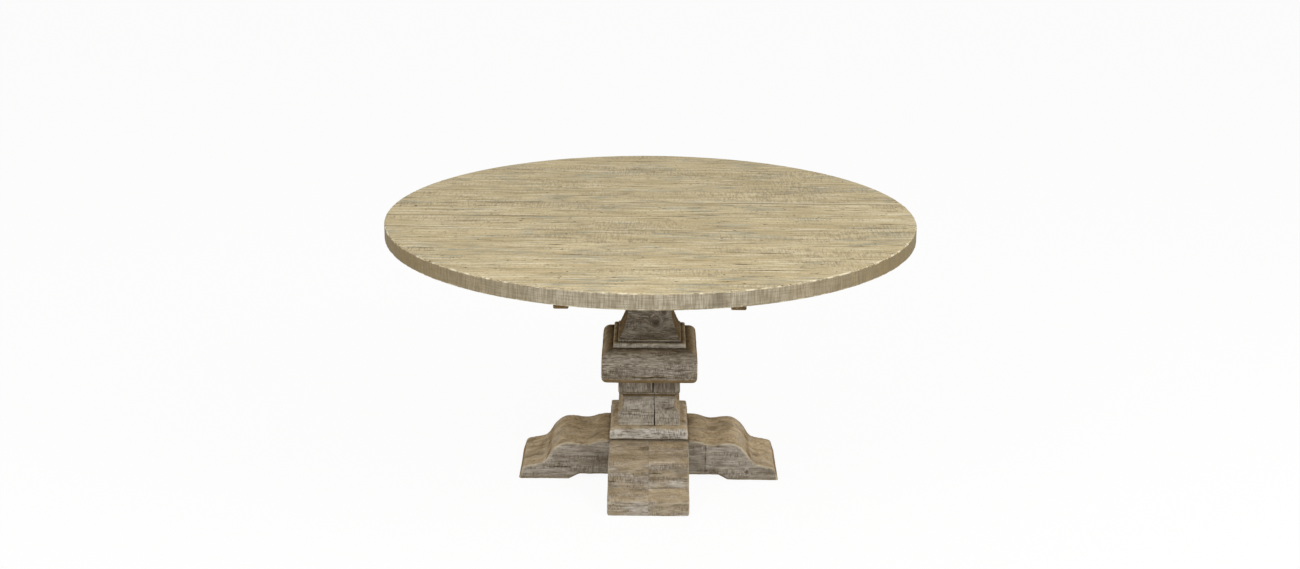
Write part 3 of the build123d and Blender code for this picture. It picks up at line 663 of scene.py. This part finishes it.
def sink_split(piece, front, start, end, depth, width):
    """Sink a split in the front face of a piece, between two points given as (x, z)."""
    places = places_of(piece)
    start, end = np.array((start[0], front, start[1])), np.array((end[0], front, end[1]))
    along = end - start
    share = np.clip((places - start) @ along / (along @ along), 0, 1)
    nearest = start + share[:, None] * along
    nearest[:, 2] += SPLIT_WANDER * np.sin(share * 9 + start[0] * 200)
    apart = np.hypot(places[:, 0] - nearest[:, 0], places[:, 2] - nearest[:, 2])
    at_front = abs(places[:, 1] - front) < SPLIT_REACH
    amount = np.clip(1 - apart / width, 0, 1) * np.sqrt(4 * share * (1 - share)) * at_front
    places[:, 1] += depth * amount
    piece.data.vertices.foreach_set("co", places.ravel())
    piece.data.update()
    mark(piece, "gap_and_shade", amount)
    print("split on", piece.name, "moved", int((amount > 0).sum()), "vertices")


cushion_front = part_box("cushion_block")[0].y
foot_front = side_front[0].y
hollow_front = -URN_THROAT / 2 - 4 * MM
sink_split(cushion, cushion_front, (-0.056, 0.327), (0.050, 0.328), 4 * MM, 2.6 * MM)
sink_split(urn_halves[0], hollow_front, (0.010, 0.264), (0.0152, 0.212), 2 * MM, 2.0 * MM)
sink_split(side_boards[0], foot_front, (0.166, 0.019), (0.167, 0.117), 1.2 * MM, 2.0 * MM)
sink_split(side_boards[0], foot_front, (-0.300, 0.040), (-0.225, 0.041), 2 * MM, 2.4 * MM)

# %% [markdown]
# A knot shows where a branch grew through the board. It is stored as a spot that fades outwards,
# and the material bends its grain round the spot.


# %% Mark the knots
def mark_knots(piece, knots):
    """Mark knots on a piece, each as (x, z, radius) on its front."""
    places = places_of(piece)
    spots = np.zeros(len(places))
    for x, z, radius in knots:
        apart = np.hypot(places[:, 0] - x, places[:, 2] - z)
        spots = np.maximum(spots, np.exp(-((apart / radius) ** 2)) * (places[:, 1] < 0))
    mark(piece, "knot", spots)
    print(piece.name, "has", len(knots), "knots")


mark_knots(shaft, [(0.018, 0.474, 18 * MM), (0.040, 0.502, 11 * MM), (-0.030, 0.585, 14 * MM)])
mark_knots(side_boards[0], [(0.289, 0.028, 7 * MM)])

# %% [markdown]
# The blocks have silvered on the two sides that were turned to the light, from mitre to mitre, and
# have stayed brown on the other two. The tops of the front and back feet are half silvered.

# %% Mark the silvered sides
FOOT_SIDE_REACH = 6 * MM
for piece in (cap, shaft, moulding, cushion, *neck_halves, *urn_halves):
    places = places_of(piece)
    mark(piece, "silvered", abs(places[:, 1]) > abs(places[:, 0]))
for piece in front_boards:
    far_out = abs(places_of(piece)[:, 0]) > front_right[1].x - FOOT_SIDE_REACH
    mark(piece, "silvered", np.where(far_out, 1.0, 0.5))
print("silvered: the blocks on two sides, the front and back feet on their sides and half on top")

# %% [markdown]
# Shade is painted into the corner where one block stands on another, as a dark line all round,
# wider in two places. What lies near that square line is marked, on one of the two blocks or on
# both. At the foot of the base block it is the other way round: the corner there is painted pale.


# %% Mark the corners between the blocks
CORNER_SHADE_REACH, WIDE_REACH = 8 * MM, 28 * MM


def mark_corner(name, z, width, amount, *touching, reach=CORNER_SHADE_REACH):
    """Mark what lies near the square line where two blocks of the pedestal meet."""
    for piece in touching:
        places = places_of(piece)
        outside = np.maximum(abs(places[:, 0]), abs(places[:, 1])) - width / 2
        apart = np.hypot(outside, places[:, 2] - z)
        mark(piece, name, amount * np.clip(1 - apart / reach, 0, 1))
    print(name, "marked at height", round(z, 3), "on", [piece.name for piece in touching])


# painted shade: the dark marks below darken the corners between the blocks where shade falls
width, foot, head = span("plinth")
mark_corner("gap_and_shade", foot, width, 0.55, plinth, *side_boards, *front_boards)
width, foot, head = span("urn_block_left", "urn_block_right")
mark_corner("rubbed", foot, width, 1.0, plinth, *urn_halves)
mark_corner("gap_and_shade", head - URN_LIP_HEIGHT, URN_LIP, 0.45, *urn_halves, reach=WIDE_REACH)
width, foot, head = span("neck_block_left", "neck_block_right")
mark_corner("gap_and_shade", head, width, 0.5, *neck_halves)
width, foot, head = span("neck_moulding")
mark_corner("gap_and_shade", foot, width, 0.7, cushion, reach=WIDE_REACH)
mark_corner("gap_and_shade", foot + STEP_HEIGHT, STEP_WIDTH, 1.0, moulding)
mark_corner("gap_and_shade", head, STEP_WIDTH, 0.4, shaft)

# %% [markdown]
# ## Finishes
# All the timber is old pine that was limed and left to weather, so it has no varnish and no even
# colour. A picture could be wrapped round it, but patterns that are worked out in the material
# run right through each block, as grain does, and stay sharp at any distance. Each is drawn at the
# size in millimetres that it has on such boards. A finish is then built up as a painter would do it,
# one colour laid over another.


# %% Helpers for materials
RANGE = ("Value", "From Min", "From Max", "To Min", "To Max")  # what a Map Range node is given


def colour(code):
    """An sRGB hex code as the linear colour that the shaders use."""
    channels = [int(code[place : place + 2], 16) / 255 for place in (1, 3, 5)]
    linear = [c / 12.92 if c <= 0.04045 else ((c + 0.055) / 1.055) ** 2.4 for c in channels]
    return (*linear, 1.0)


def add(tree, kind, inputs, **settings):
    """Add a node with its settings. Each input is a value, or another node's output to link."""
    node = tree.nodes.new(kind)
    for name, value in settings.items():
        setattr(node, name, value)
    for name, value in inputs.items():
        if isinstance(value, bpy.types.NodeSocket):
            tree.links.new(value, node.inputs[name])
        else:
            node.inputs[name].default_value = value
    return node


def new_finish(name):
    """A new material with its node tree and its shader."""
    material = bpy.data.materials.new(name)
    material.use_nodes = True
    return material, material.node_tree, material.node_tree.nodes["Principled BSDF"]


def lay(tree, paint, layers):
    """Lay colours over a paint, one after another, each as strongly as its pattern says."""
    for amount, code in layers:
        mixed = {0: amount, 6: paint, 7: colour(code)}
        paint = add(tree, "ShaderNodeMix", mixed, data_type="RGBA").outputs[2]
    return paint


def give(tree, shader, paint, dull, height, strength, depth, invert=True):
    """Give a shader its paint, its roughness, and a relief of the given strength and depth."""
    relief = {"Strength": strength, "Distance": depth, "Height": height}
    bump = add(tree, "ShaderNodeBump", relief, invert=invert).outputs[0]
    for name, output in (("Base Color", paint), ("Roughness", dull), ("Normal", bump)):
        tree.links.new(output, shader.inputs[name])


# %% [markdown]
# A pattern in the timber is a cloud of noise, squeezed to the length, breadth and depth of one
# streak. It lies along the grain. Each board shifts it by a number of its own, so that no two boards
# seem to come from the same tree, and a knot pushes it aside, as fibres grow round a branch.


# %% Patterns in the timber
GRAIN_TURN = {"X": (0, 0, 0), "Y": (0, 0, -pi / 2), "Z": (0, pi / 2, 0)}
KNOT_BEND = 30 * MM


def timber_place(tree, along):
    """Where a point lies in its timber: x along the grain, shifted board by board, bent round knots."""
    place = add(tree, "ShaderNodeTexCoord", {}).outputs["Object"]
    turned = add(tree, "ShaderNodeMapping", {"Vector": place, "Rotation": GRAIN_TURN[along]})
    board, knot = (
        add(tree, "ShaderNodeAttribute", {}, attribute_name=name).outputs["Fac"]
        for name in ("board", "knot")
    )
    aside = {0: knot, 1: KNOT_BEND, 2: board}
    bent = add(tree, "ShaderNodeMath", aside, operation="MULTIPLY_ADD").outputs[0]
    shift = add(tree, "ShaderNodeCombineXYZ", {0: board, 1: bent, 2: bent}).outputs[0]
    moved = add(tree, "ShaderNodeVectorMath", {0: turned.outputs[0], 1: shift}, operation="ADD")
    return moved.outputs[0]


def figure(tree, where, size, low, high, most=1.0, detail=3.0):
    """How strongly streaks or spots show, 0 to most. size is their length, breadth and depth in mm."""
    scale = [1 / (side * MM) for side in size]
    squeezed = add(tree, "ShaderNodeMapping", {"Vector": where, "Scale": scale}).outputs[0]
    cloud = add(tree, "ShaderNodeTexNoise", {"Vector": squeezed, "Scale": 1.0, "Detail": detail})
    shown = (cloud.outputs[0], low, high, 0.0, most)
    return add(tree, "ShaderNodeMapRange", dict(zip(RANGE, shown))).outputs[0]


# %% [markdown]
# The top is the palest timber. Its boards have straight grain in fine lines, some darker than
# others, with cream lines where lime has stayed in the pores and blue-grey smudges where it has
# been wet. Here and there the saw has left a patch of short lines across the grain.


# %% The planed face of the top
def planed_face(tree, where):
    """The paint of the planed boards, and the height of their grain and saw marks."""
    lime, dirt = (
        add(tree, "ShaderNodeAttribute", {}, attribute_name=name).outputs["Fac"]
        for name in ("lime", "dirt")
    )
    rings = figure(tree, where, (60, 3, 3), 0.38, 0.66, 0.45)
    saw_patch = figure(tree, where, (380, 150, 150), 0.48, 0.60, 0.45)
    saw_lines = figure(tree, where, (5, 40, 40), 0.46, 0.60)
    sawn = add(tree, "ShaderNodeMath", {0: saw_patch, 1: saw_lines}, operation="MULTIPLY").outputs[0]
    blotches = figure(tree, where, (260, 70, 70), 0.40, 0.62, 0.5)
    bands = figure(tree, where, (220, 14, 14), 0.46, 0.62, 0.4)
    limed = figure(tree, where, (170, 8, 8), 0.55, 0.63, 0.6)
    wet = figure(tree, where, (230, 90, 90), 0.50, 0.60)
    threads = figure(tree, where, (70, 9, 9), 0.48, 0.60, 0.6)
    smudges = add(tree, "ShaderNodeMath", {0: wet, 1: threads}, operation="MULTIPLY").outputs[0]
    speckle = figure(tree, where, (7, 13, 13), 0.46, 0.62, 0.28)
    lines = figure(tree, where, (130, 5.5, 5.5), 0.62, 0.66, 0.85, detail=2.0)
    pits = figure(tree, where, (16, 8, 8), 0.71, 0.73, 0.9, detail=1.0)
    paint = lay(
        tree,
        colour("#D5C49C"),
        [
            (blotches, "#B5A279"),  # heartwood, a little darker
            (rings, "#A29069"),  # growth rings
            (bands, "#A4926A"),  # bands of late wood
            (limed, "#E6DDC1"),  # lime left in the pores
            (smudges, "#8C9085"),  # water marks
            (speckle, "#9C8B65"),  # short fibres torn by the plane
            (sawn, "#857860"),  # marks of the saw across the grain
            (lines, "#57492F"),  # dark resin lines
            (pits, "#4A3E28"),  # small knots and nail holes
            (lime, "#E9E1C8"),  # a line of lime beside a seam
            (dirt, "#4E412D"),  # dirt settled in the seams
        ],
    )
    height = add(tree, "ShaderNodeMath", {0: rings, 1: sawn}, operation="ADD").outputs[0]
    return paint, height


# %% [markdown]
# The rim was sawn round and never planed, so it is greyer and hatched by the saw. At the left and
# right it cuts across the grain and is warmer, and at the front and back it runs along the grain.


# %% The sawn rim of the top
def sawn_rim(tree, where, place, sideways):
    """The paint of the sawn rim, and the height of its saw marks."""
    hatch = figure(tree, place, (4, 4, 40), 0.44, 0.60, 0.5)
    broad_hatch = figure(tree, place, (30, 30, 120), 0.44, 0.60, 0.4)
    long_grain = figure(tree, where, (45, 60, 3.5), 0.46, 0.60, 0.5)
    at_end = dict(zip(RANGE, (sideways, 0.3, 0.85, 0.0, 0.9)))
    end_grain = add(tree, "ShaderNodeMapRange", at_end).outputs[0]
    stain = add(tree, "ShaderNodeAttribute", {}, attribute_name="stain").outputs["Fac"]
    stained = add(tree, "ShaderNodeMath", {0: stain, 1: 0.55}, operation="MULTIPLY").outputs[0]
    paint = lay(
        tree,
        colour("#B3A994"),
        [
            (long_grain, "#857962"),  # long grain at the front and back
            (end_grain, "#7E6B43"),  # warmer end grain at the sides
            (broad_hatch, "#7A6E57"),  # uneven tone from the band saw
            (hatch, "#6E624A"),  # marks of the saw
            (stained, "#5E5340"),  # a water stain that ran down the front
        ],
    )
    return paint, hatch


# %% [markdown]
# The facing of the surface says which of the two paints shows. The edge between them is rubbed to
# pale wood in patches, and the seams are dark. The wood is matt, a little glossier along some of
# the grain.


# %% Limed pine for the top
def limed_top():
    """Old limed pine: matt, pale and fine-lined, with a saw-hatched rim."""
    material, tree, shader = new_finish("limed_pine_top")
    where = timber_place(tree, "X")
    here = add(tree, "ShaderNodeTexCoord", {}).outputs
    facing = add(tree, "ShaderNodeSeparateXYZ", {0: here["Normal"]}).outputs
    sideways, upright = (
        add(tree, "ShaderNodeMath", {0: facing[axis]}, operation="ABSOLUTE").outputs[0] for axis in (0, 2)
    )
    rubbed, gap_and_shade = (
        add(tree, "ShaderNodeAttribute", {}, attribute_name=name).outputs["Fac"]
        for name in ("rubbed", "gap_and_shade")
    )
    flat_paint, ridges_height = planed_face(tree, where)
    rim_paint, hatch = sawn_rim(tree, where, here["Object"], sideways)
    at_rim = dict(zip(RANGE, (upright, 0.8, 0.4, 0.0, 1.0)))
    on_rim = add(tree, "ShaderNodeMapRange", at_rim).outputs[0]
    both = {0: on_rim, 6: flat_paint, 7: rim_paint}
    paint = add(tree, "ShaderNodeMix", both, data_type="RGBA").outputs[2]
    patchy = figure(tree, where, (26, 26, 26), 0.50, 0.60, 0.7)
    worn = add(tree, "ShaderNodeMath", {0: rubbed, 1: patchy}, operation="MULTIPLY").outputs[0]
    paint = lay(tree, paint, [(worn, "#E6DCBF"), (gap_and_shade, "#4E412D")])
    polish = figure(tree, where, (60, 12, 12), 0.3, 0.7, 0.25)
    dull = add(tree, "ShaderNodeMath", {0: 0.82, 1: polish}, operation="SUBTRACT").outputs[0]
    height = add(tree, "ShaderNodeMath", {0: ridges_height, 1: hatch}, operation="ADD").outputs[0]
    give(tree, shader, paint, dull, height, 0.35, 0.8 * MM)
    shader.inputs["Specular IOR Level"].default_value = 0.3
    return material


top_pine = limed_top()
print("finish:", top_pine.name, "with", len(top_pine.node_tree.nodes), "nodes")

# %% [markdown]
# The pedestal is the same pine, rougher and greyer. Upright faces have silvered, and ledges, which
# are touched and dusted, have stayed brown. So the facing of the surface mixes the two, and the
# sides that are marked as silvered stay grey. Undersides get a darker brown as painted shade.


# %% Ledges, undersides and ends
def facings(tree, where):
    """How far a surface is a brown ledge, an underside in painted shade, a brown end and a long side, 0
    to 1 each.
    """
    normal = add(tree, "ShaderNodeTexCoord", {}).outputs["Normal"]
    facing = add(tree, "ShaderNodeSeparateXYZ", {0: normal}).outputs
    sideways, frontal = (
        add(tree, "ShaderNodeMath", {0: facing[axis]}, operation="ABSOLUTE").outputs[0] for axis in (0, 1)
    )
    uneven = figure(tree, where, (80, 24, 24), 0.35, 0.65, 0.5)
    level = add(tree, "ShaderNodeMath", {0: facing[2], 1: uneven}, operation="SUBTRACT").outputs[0]
    lying, standing = (
        add(tree, "ShaderNodeMath", {0: less, 1: -0.6, 2: part}, operation="MULTIPLY_ADD").outputs[0]
        for part, less in ((level, frontal), (sideways, facing[2]))
    )
    silvered = add(tree, "ShaderNodeAttribute", {}, attribute_name="silvered").outputs["Fac"]
    lies, stands, under, long_side, ledge_brown, end_brown = (
        add(tree, "ShaderNodeMapRange", dict(zip(RANGE, row))).outputs[0]
        for row in (
            (lying, 0.0, 0.75, 0.0, 1.0),
            (standing, 0.3, 0.6, 0.0, 1.0),
            (facing[2], -0.05, -0.4, 0.0, 0.8),
            (sideways, 0.6, 0.25, 0.0, 1.0),
            (silvered, 0.0, 1.0, 0.75, 0.1),
            (silvered, 0.0, 1.0, 0.72, 0.0),
        )
    )
    ledge, end = (
        add(tree, "ShaderNodeMath", {0: part, 1: brown}, operation="MULTIPLY").outputs[0]
        for part, brown in ((lies, ledge_brown), (stands, end_brown))
    )
    return ledge, under, end, long_side


# %% [markdown]
# Over that lie the marks of the tree and of the tools. The saw has left rows of short dashes,
# always upright, whichever way the grain runs. Corners are rubbed to bare wood, splits and joints
# are dark, and the corners between blocks are darkened as painted shade.


# %% Weathered pine for the pedestal
def weathered_pine(name, along, base, length, force, saw=0.50, patches=0.0):
    """Old sawn pine. Its streaks have a length in mm and a force. The lower saw is, the more rows of
    saw marks show, and patches is how strongly brown patches show."""
    material, tree, shader = new_finish(name)
    where = timber_place(tree, along)
    sawn_place = timber_place(tree, "X")
    rubbed, gap_and_shade, knot, tone = (
        add(tree, "ShaderNodeAttribute", {}, attribute_name=stored).outputs["Fac"]
        for stored in ("rubbed", "gap_and_shade", "knot", "tone")
    )
    veil, core = (
        add(tree, "ShaderNodeMapRange", dict(zip(RANGE, row))).outputs[0]
        for row in ((tone, 0.0, 1.0, 0.0, 1.0), (knot, 0.4, 0.95, 0.0, 0.65))
    )
    ledge, under, end, long_side = facings(tree, where)
    bands = figure(tree, where, (4 * length, 50, 16), 0.44, 0.62, 0.5)
    rings = figure(tree, where, (length, 12, 4), 0.40, 0.62, 0.5 * force)
    limed = figure(tree, where, (0.8 * length, 9, 5), 0.52, 0.64, 0.6 * force)
    silver = figure(tree, where, (34, 26, 26), 0.50, 0.66, 0.4)
    browned = figure(tree, where, (100, 40, 26), 0.46, 0.58, patches)
    strokes = figure(tree, where, (14, 8, 4.5), 0.50, 0.62, 0.45 * force)
    dashes = figure(tree, sawn_place, (3.2, 14, 14), 0.44, 0.60)
    rows = figure(tree, sawn_place, (110, 40, 18), saw, saw + 0.1, 0.55)
    struck = add(tree, "ShaderNodeMath", {0: dashes, 1: rows}, operation="MULTIPLY").outputs[0]
    chatter = add(tree, "ShaderNodeMath", {0: struck, 1: long_side}, operation="MULTIPLY").outputs[0]
    lines = figure(tree, where, (2 * length, 20, 3.5), 0.60, 0.66, 0.65 * force, detail=2.0)
    checks = figure(tree, where, (60, 5, 3.5), 0.69, 0.72, 0.8, detail=2.0)
    pits = figure(tree, where, (8, 6, 6), 0.74, 0.76, 0.8, detail=1.0)
    clouds = figure(tree, where, (40, 32, 32), 0.42, 0.62, 0.45)
    fibres = figure(tree, where, (9, 6, 6), 0.48, 0.62, 0.5)
    mottle = add(tree, "ShaderNodeMath", {0: clouds, 1: fibres}, operation="ADD").outputs[0]
    brown = add(tree, "ShaderNodeMath", {0: ledge, 1: end}, operation="MAXIMUM").outputs[0]
    mottled = add(tree, "ShaderNodeMath", {0: brown, 1: mottle}, operation="MULTIPLY").outputs[0]
    soiled = figure(tree, where, (70, 50, 50), 0.53, 0.66, 0.4)
    patchy = figure(tree, where, (30, 24, 24), 0.30, 0.55, 0.75)
    worn = add(tree, "ShaderNodeMath", {0: rubbed, 1: patchy}, operation="MULTIPLY").outputs[0]
    paint = lay(
        tree,
        colour(base),
        [
            (silver, "#989389"),  # silvered patches
            (bands, "#6E614D"),  # heartwood bands
            (rings, "#635747"),  # growth rings
            (limed, "#CFC8BA"),  # lime left in the pores
            (veil, "#CFC9BF"),  # more lime on the blocks that took it better
            (browned, "#93805A"),  # brown patches where the lime has worn off
            (end, "#8A6B3D"),  # end grain, brown with age
            (strokes, "#5E5242"),  # torn fibres
            (chatter, "#574B3C"),  # rows of dashes from the saw
            (lines, "#4C4132"),  # dark resin lines
            (checks, "#2E251A"),  # fine drying checks
            (ledge, "#D5BF9C"),  # ledges, rubbed and oily, which hides most of the grain
            (under, "#7A6238"),  # painted shade on undersides, in a darker brown
            (mottled, "#6D5A38"),  # darker clouds and fibres in the brown wood
            (soiled, "#5A4E3B"),  # broad soiled patches
            (core, "#3F3222"),  # the heart of a knot
            (pits, "#2E251A"),  # worm and nail holes
            (worn, "#D0C4A8"),  # corners rubbed to bare wood
            (gap_and_shade, "#1E1811"),  # splits and joints, and painted shade in the corners between the blocks
        ],
    )
    light = add(tree, "ShaderNodeMath", {0: tone, 1: 1.0}, operation="ADD", use_clamp=True).outputs[0]
    paint = add(tree, "ShaderNodeVectorMath", {0: paint, "Scale": light}, operation="SCALE").outputs[0]
    polish = figure(tree, where, (50, 12, 12), 0.3, 0.7, 0.25)
    dull = add(tree, "ShaderNodeMath", {0: 0.85, 1: polish}, operation="SUBTRACT").outputs[0]
    ridged = add(tree, "ShaderNodeMath", {0: rings, 1: chatter}, operation="ADD").outputs[0]
    height = add(tree, "ShaderNodeMath", {0: ridged, 1: checks}, operation="ADD").outputs[0]
    give(tree, shader, paint, dull, height, 0.5, 1.0 * MM)
    shader.inputs["Specular IOR Level"].default_value = 0.0  # a sheen would wash the dark sides grey
    return material


# %% [markdown]
# Six finishes come from that one recipe, because the blocks were cut from different boards. They
# differ in their grey, in how long and how strong their streaks are, and in their saw marks.

# %% The six pines
# blocks: mid grey, with short strong streaks
grey_pine = weathered_pine("grey_pine_blocks", "X", "#B6AEA2", 28, 1.0)
# side feet: darker, with long soft streaks
beam_pine = weathered_pine("grey_pine_beams", "X", "#ABA398", 48, 0.6, saw=0.47)
# front and back feet: long streaks, more saw marks, and brown patches
front_pine = weathered_pine("grey_pine_front_feet", "X", "#B3ABA0", 48, 0.75, saw=0.45, patches=0.45)
# base: the palest, with the most saw marks
base_pine = weathered_pine("grey_pine_base", "X", "#B8AF9F", 28, 0.7, saw=0.40)
# collar: the grain stands upright
upright_pine = weathered_pine("grey_pine_upright", "Z", "#AFA79B", 40, 1.0)
# battens: brown, because they lie under the top, out of the weather
batten_pine = weathered_pine("brown_pine_battens", "Y", "#8C7047", 60, 0.8)
pines = (grey_pine, beam_pine, front_pine, base_pine, upright_pine, batten_pine)
print("finishes:", [pine.name for pine in pines])

# %% [markdown]
# ## Dress the table
# Each worn piece now takes the place of its CAD node: it rides on the table, gets its finish, and
# gets two numbers of its own, one that shifts its grain and one that makes it paler or darker than
# the rest. Smooth shading is kept to shallow angles, so that the soft surface is smooth and the
# cut joints stay crisp.


# %% Put the worn pieces in place
SEED_STEP = 1.37
FIRST_BOARD_SEED, FIRST_BLOCK_SEED = 1, 20
BOARD_SMOOTH, BLOCK_SMOOTH = radians(8), radians(40)


def dress(piece, node_name, material, seed, tone, smooth_angle):
    """Let a worn piece stand for its CAD node, with its finish, its own grain and its own tone."""
    only(piece)
    bpy.ops.object.shade_smooth_by_angle(angle=smooth_angle)
    mark(piece, "board", np.full(len(piece.data.vertices), seed * SEED_STEP))
    mark(piece, "tone", np.full(len(piece.data.vertices), tone))
    piece.data.materials.clear()
    piece.data.materials.append(material)
    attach(piece, "table")
    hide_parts(node_name)


for number, board in enumerate(boards):
    seed = FIRST_BOARD_SEED + number
    dress(board, board_names[number], top_pine, seed, 0, BOARD_SMOOTH)
pedestal = [
    (cap, "cap_block", grey_pine, 0),
    # the shaft's lower tone is partly its darker wood and partly painted shade from the top above it
    (shaft, "shaft", grey_pine, -0.26),
    (moulding, "neck_moulding", grey_pine, 1.0),
    (cushion, "cushion_block", grey_pine, 0.08),
    (neck_halves[0], "neck_block_left", upright_pine, 0),
    (neck_halves[1], "neck_block_right", upright_pine, -0.05),
    (urn_halves[0], "urn_block_left", base_pine, 0.38),
    (urn_halves[1], "urn_block_right", base_pine, 0.33),
    (plinth, "plinth", grey_pine, 1.0),
    (side_boards[0], "side_foot_board_front", beam_pine, -0.02),
    (side_boards[1], "side_foot_board_back", beam_pine, 0.0),
    (front_boards[0], "front_foot_board_left", front_pine, -0.08),
    (front_boards[1], "front_foot_board_right", front_pine, -0.05),
]
for number, (piece, node_name, finish, tone) in enumerate(pedestal):
    seed = FIRST_BLOCK_SEED + number
    dress(piece, node_name, finish, seed, tone, BLOCK_SMOOTH)
print("worn pieces in place:", len(boards) + len(pedestal))

# %% [markdown]
# ## Hidden hardware
# The steel, brass, nylon, beech and plywood under the table are sound as CAD shapes and are new,
# not worn. They keep their nodes and get a finish each. So do the two battens, of which only the
# ends can be seen below the rim.


# %% Finishes for the hardware
ROUGH_SPREAD, BUMP_DEPTH = 0.08, 0.2 * MM


def made_surface(name, base, spots, size, rough, metallic=0.0, bumps=0.1):
    """A made surface of one colour, clouded and slightly uneven at the given size in mm."""
    material, tree, shader = new_finish(name)
    place = add(tree, "ShaderNodeTexCoord", {}).outputs["Object"]
    cloud = figure(tree, place, size, 0.35, 0.65)
    paint = lay(tree, colour(base), [(cloud, spots)])
    spread = (cloud, 0.0, 1.0, rough - ROUGH_SPREAD, rough + ROUGH_SPREAD)
    dull = add(tree, "ShaderNodeMapRange", dict(zip(RANGE, spread))).outputs[0]
    give(tree, shader, paint, dull, cloud, bumps, BUMP_DEPTH, invert=False)
    shader.inputs["Metallic"].default_value = metallic
    return material


hardware = {
    # zinc plating: bright blue-grey metal in a fine spangle
    "zinc_steel": made_surface("zinc_plated_steel", "#B9BDC2", "#9EA3A8", (3, 3, 3), 0.36, 1.0),
    # brass off the lathe: yellow metal in fine turned rings
    "insert_brass": made_surface("turned_brass", "#C6A35E", "#AD8946", (4, 4, 0.5), 0.3, 1.0),
    # moulded nylon: near black, satin, with a fine spark grain
    "pad_nylon": made_surface("moulded_nylon", "#2C2C2D", "#39393A", (1.2, 1.2, 1.2), 0.55, bumps=0.3),
    # beech: even pinkish tan with short flecks
    "dowel_beech": made_surface("turned_beech", "#CDA97C", "#B78D60", (0.8, 0.8, 6), 0.6),
    # birch plywood: pale faces, and thin plies that show as lines on the edges
    "plate_plywood": made_surface("birch_plywood", "#CDB284", "#A1814F", (90, 30, 2.2), 0.65),
    "pedestal_pine": batten_pine,
}
finished = 0
for row in frame["record"]["subparts"]:
    for material_slot in nodes[row["node"]].material_slots:
        if row["material_slot"] in hardware:
            material_slot.material = hardware[row["material_slot"]]
            finished += 1
print("CAD nodes with a new finish:", finished)

# %% [markdown]
# ## Floor, light and camera
# The table stands on a white studio sweep. A lit floor alone comes out grey, and more light would
# bleach the timber. So the floor is a plain pale colour for the light, and the camera sees it
# mostly as plain white, with enough of the lit floor left in to show the shadow.

# %% The studio floor
FLOOR_SIZE, WHITENESS = 60, 0.94
bpy.ops.object.select_all(action="DESELECT")
bpy.ops.mesh.primitive_plane_add(size=FLOOR_SIZE, location=(0, 0, 0))
floor = bpy.context.object
floor.name = "studio_floor"
sweep = bpy.data.materials.new("painted_sweep")
sweep.use_nodes = True
tree = sweep.node_tree
tree.nodes.clear()
rays = add(tree, "ShaderNodeLightPath", {})
seen = rays.outputs["Is Camera Ray"]
for ray in ("Is Glossy Ray", "Is Transmission Ray"):
    seen = add(tree, "ShaderNodeMath", {0: seen, 1: rays.outputs[ray]}, operation="MAXIMUM").outputs[0]
share = add(tree, "ShaderNodeMath", {0: seen, 1: WHITENESS}, operation="MULTIPLY").outputs[0]
lit = add(tree, "ShaderNodeBsdfDiffuse", {"Color": colour("#ECEAE6")}).outputs[0]
white = add(tree, "ShaderNodeEmission", {"Color": colour("#FFFFFF"), "Strength": 1.0}).outputs[0]
mixed = add(tree, "ShaderNodeMixShader", {0: share, 1: lit, 2: white}).outputs[0]
add(tree, "ShaderNodeOutputMaterial", {"Surface": mixed})
floor.data.materials.append(sweep)
print("floor:", floor.name, FLOOR_SIZE, "m wide")

# %% [markdown]
# The photograph's light is soft and comes from above and a little to the front and right. The top
# shades the shaft, and the feet are brighter. A white sky all round gives the soft part, and two
# large lamps, at the front right and the front left, give the direction. The right one is stronger.

# %% Sky and lamps
SKY_STRENGTH = 0.55
LAMP_AIM, LAMP_SIZE = (0, 0, 0.2), 2.0
world = bpy.data.worlds.new("studio_sky")
world.use_nodes = True
sky = world.node_tree.nodes["Background"].inputs
sky["Color"].default_value = (1, 1, 1, 1)
sky["Strength"].default_value = SKY_STRENGTH
bpy.context.scene.world = world


def softbox(name, place, watts):
    """A square studio lamp that points from its place to the foot of the pedestal."""
    bpy.ops.object.select_all(action="DESELECT")
    bpy.ops.object.light_add(type="AREA", location=place)
    lamp = bpy.context.object
    lamp.name = name
    lamp.data.size = LAMP_SIZE
    lamp.data.energy = watts
    lamp.rotation_euler = (Vector(LAMP_AIM) - Vector(place)).to_track_quat("-Z", "Y").to_euler()
    return lamp


right = softbox("right_lamp", (3.6, -2.3, 3.3), 125)
left = softbox("left_lamp", (-2.4, -3.2, 3.4), 95)
print("lamps:", right.name, left.name)

# %% [markdown]
# The camera was fitted to the photograph from the ellipse of the rim and the corners of the feet.
# It looks down at 17 degrees from over five metres, with hardly any roll.

# %% The camera
LENS = 53.03
CAMERA_PLACE = (0, -5.34398, 2.19582)
TILT, ROLL = radians(16.951), radians(0.46)
bpy.ops.object.select_all(action="DESELECT")
bpy.ops.object.camera_add(location=CAMERA_PLACE)
camera = bpy.context.object
camera.name = "photo_camera"
camera.data.lens = LENS
turn = Matrix.Rotation(pi / 2 - TILT, 4, "X") @ Matrix.Rotation(ROLL, 4, "Z")
camera.rotation_euler = turn.to_euler()
bpy.context.scene.camera = camera
bpy.context.scene.view_settings.view_transform = "Standard"
print("camera at", [round(c, 3) for c in camera.location])

# %% [markdown]
# ## Finish
# Dressing must not change how large the table is. The view layer is brought up to date at the end.

# %% Update the view layer
bpy.context.view_layer.update()
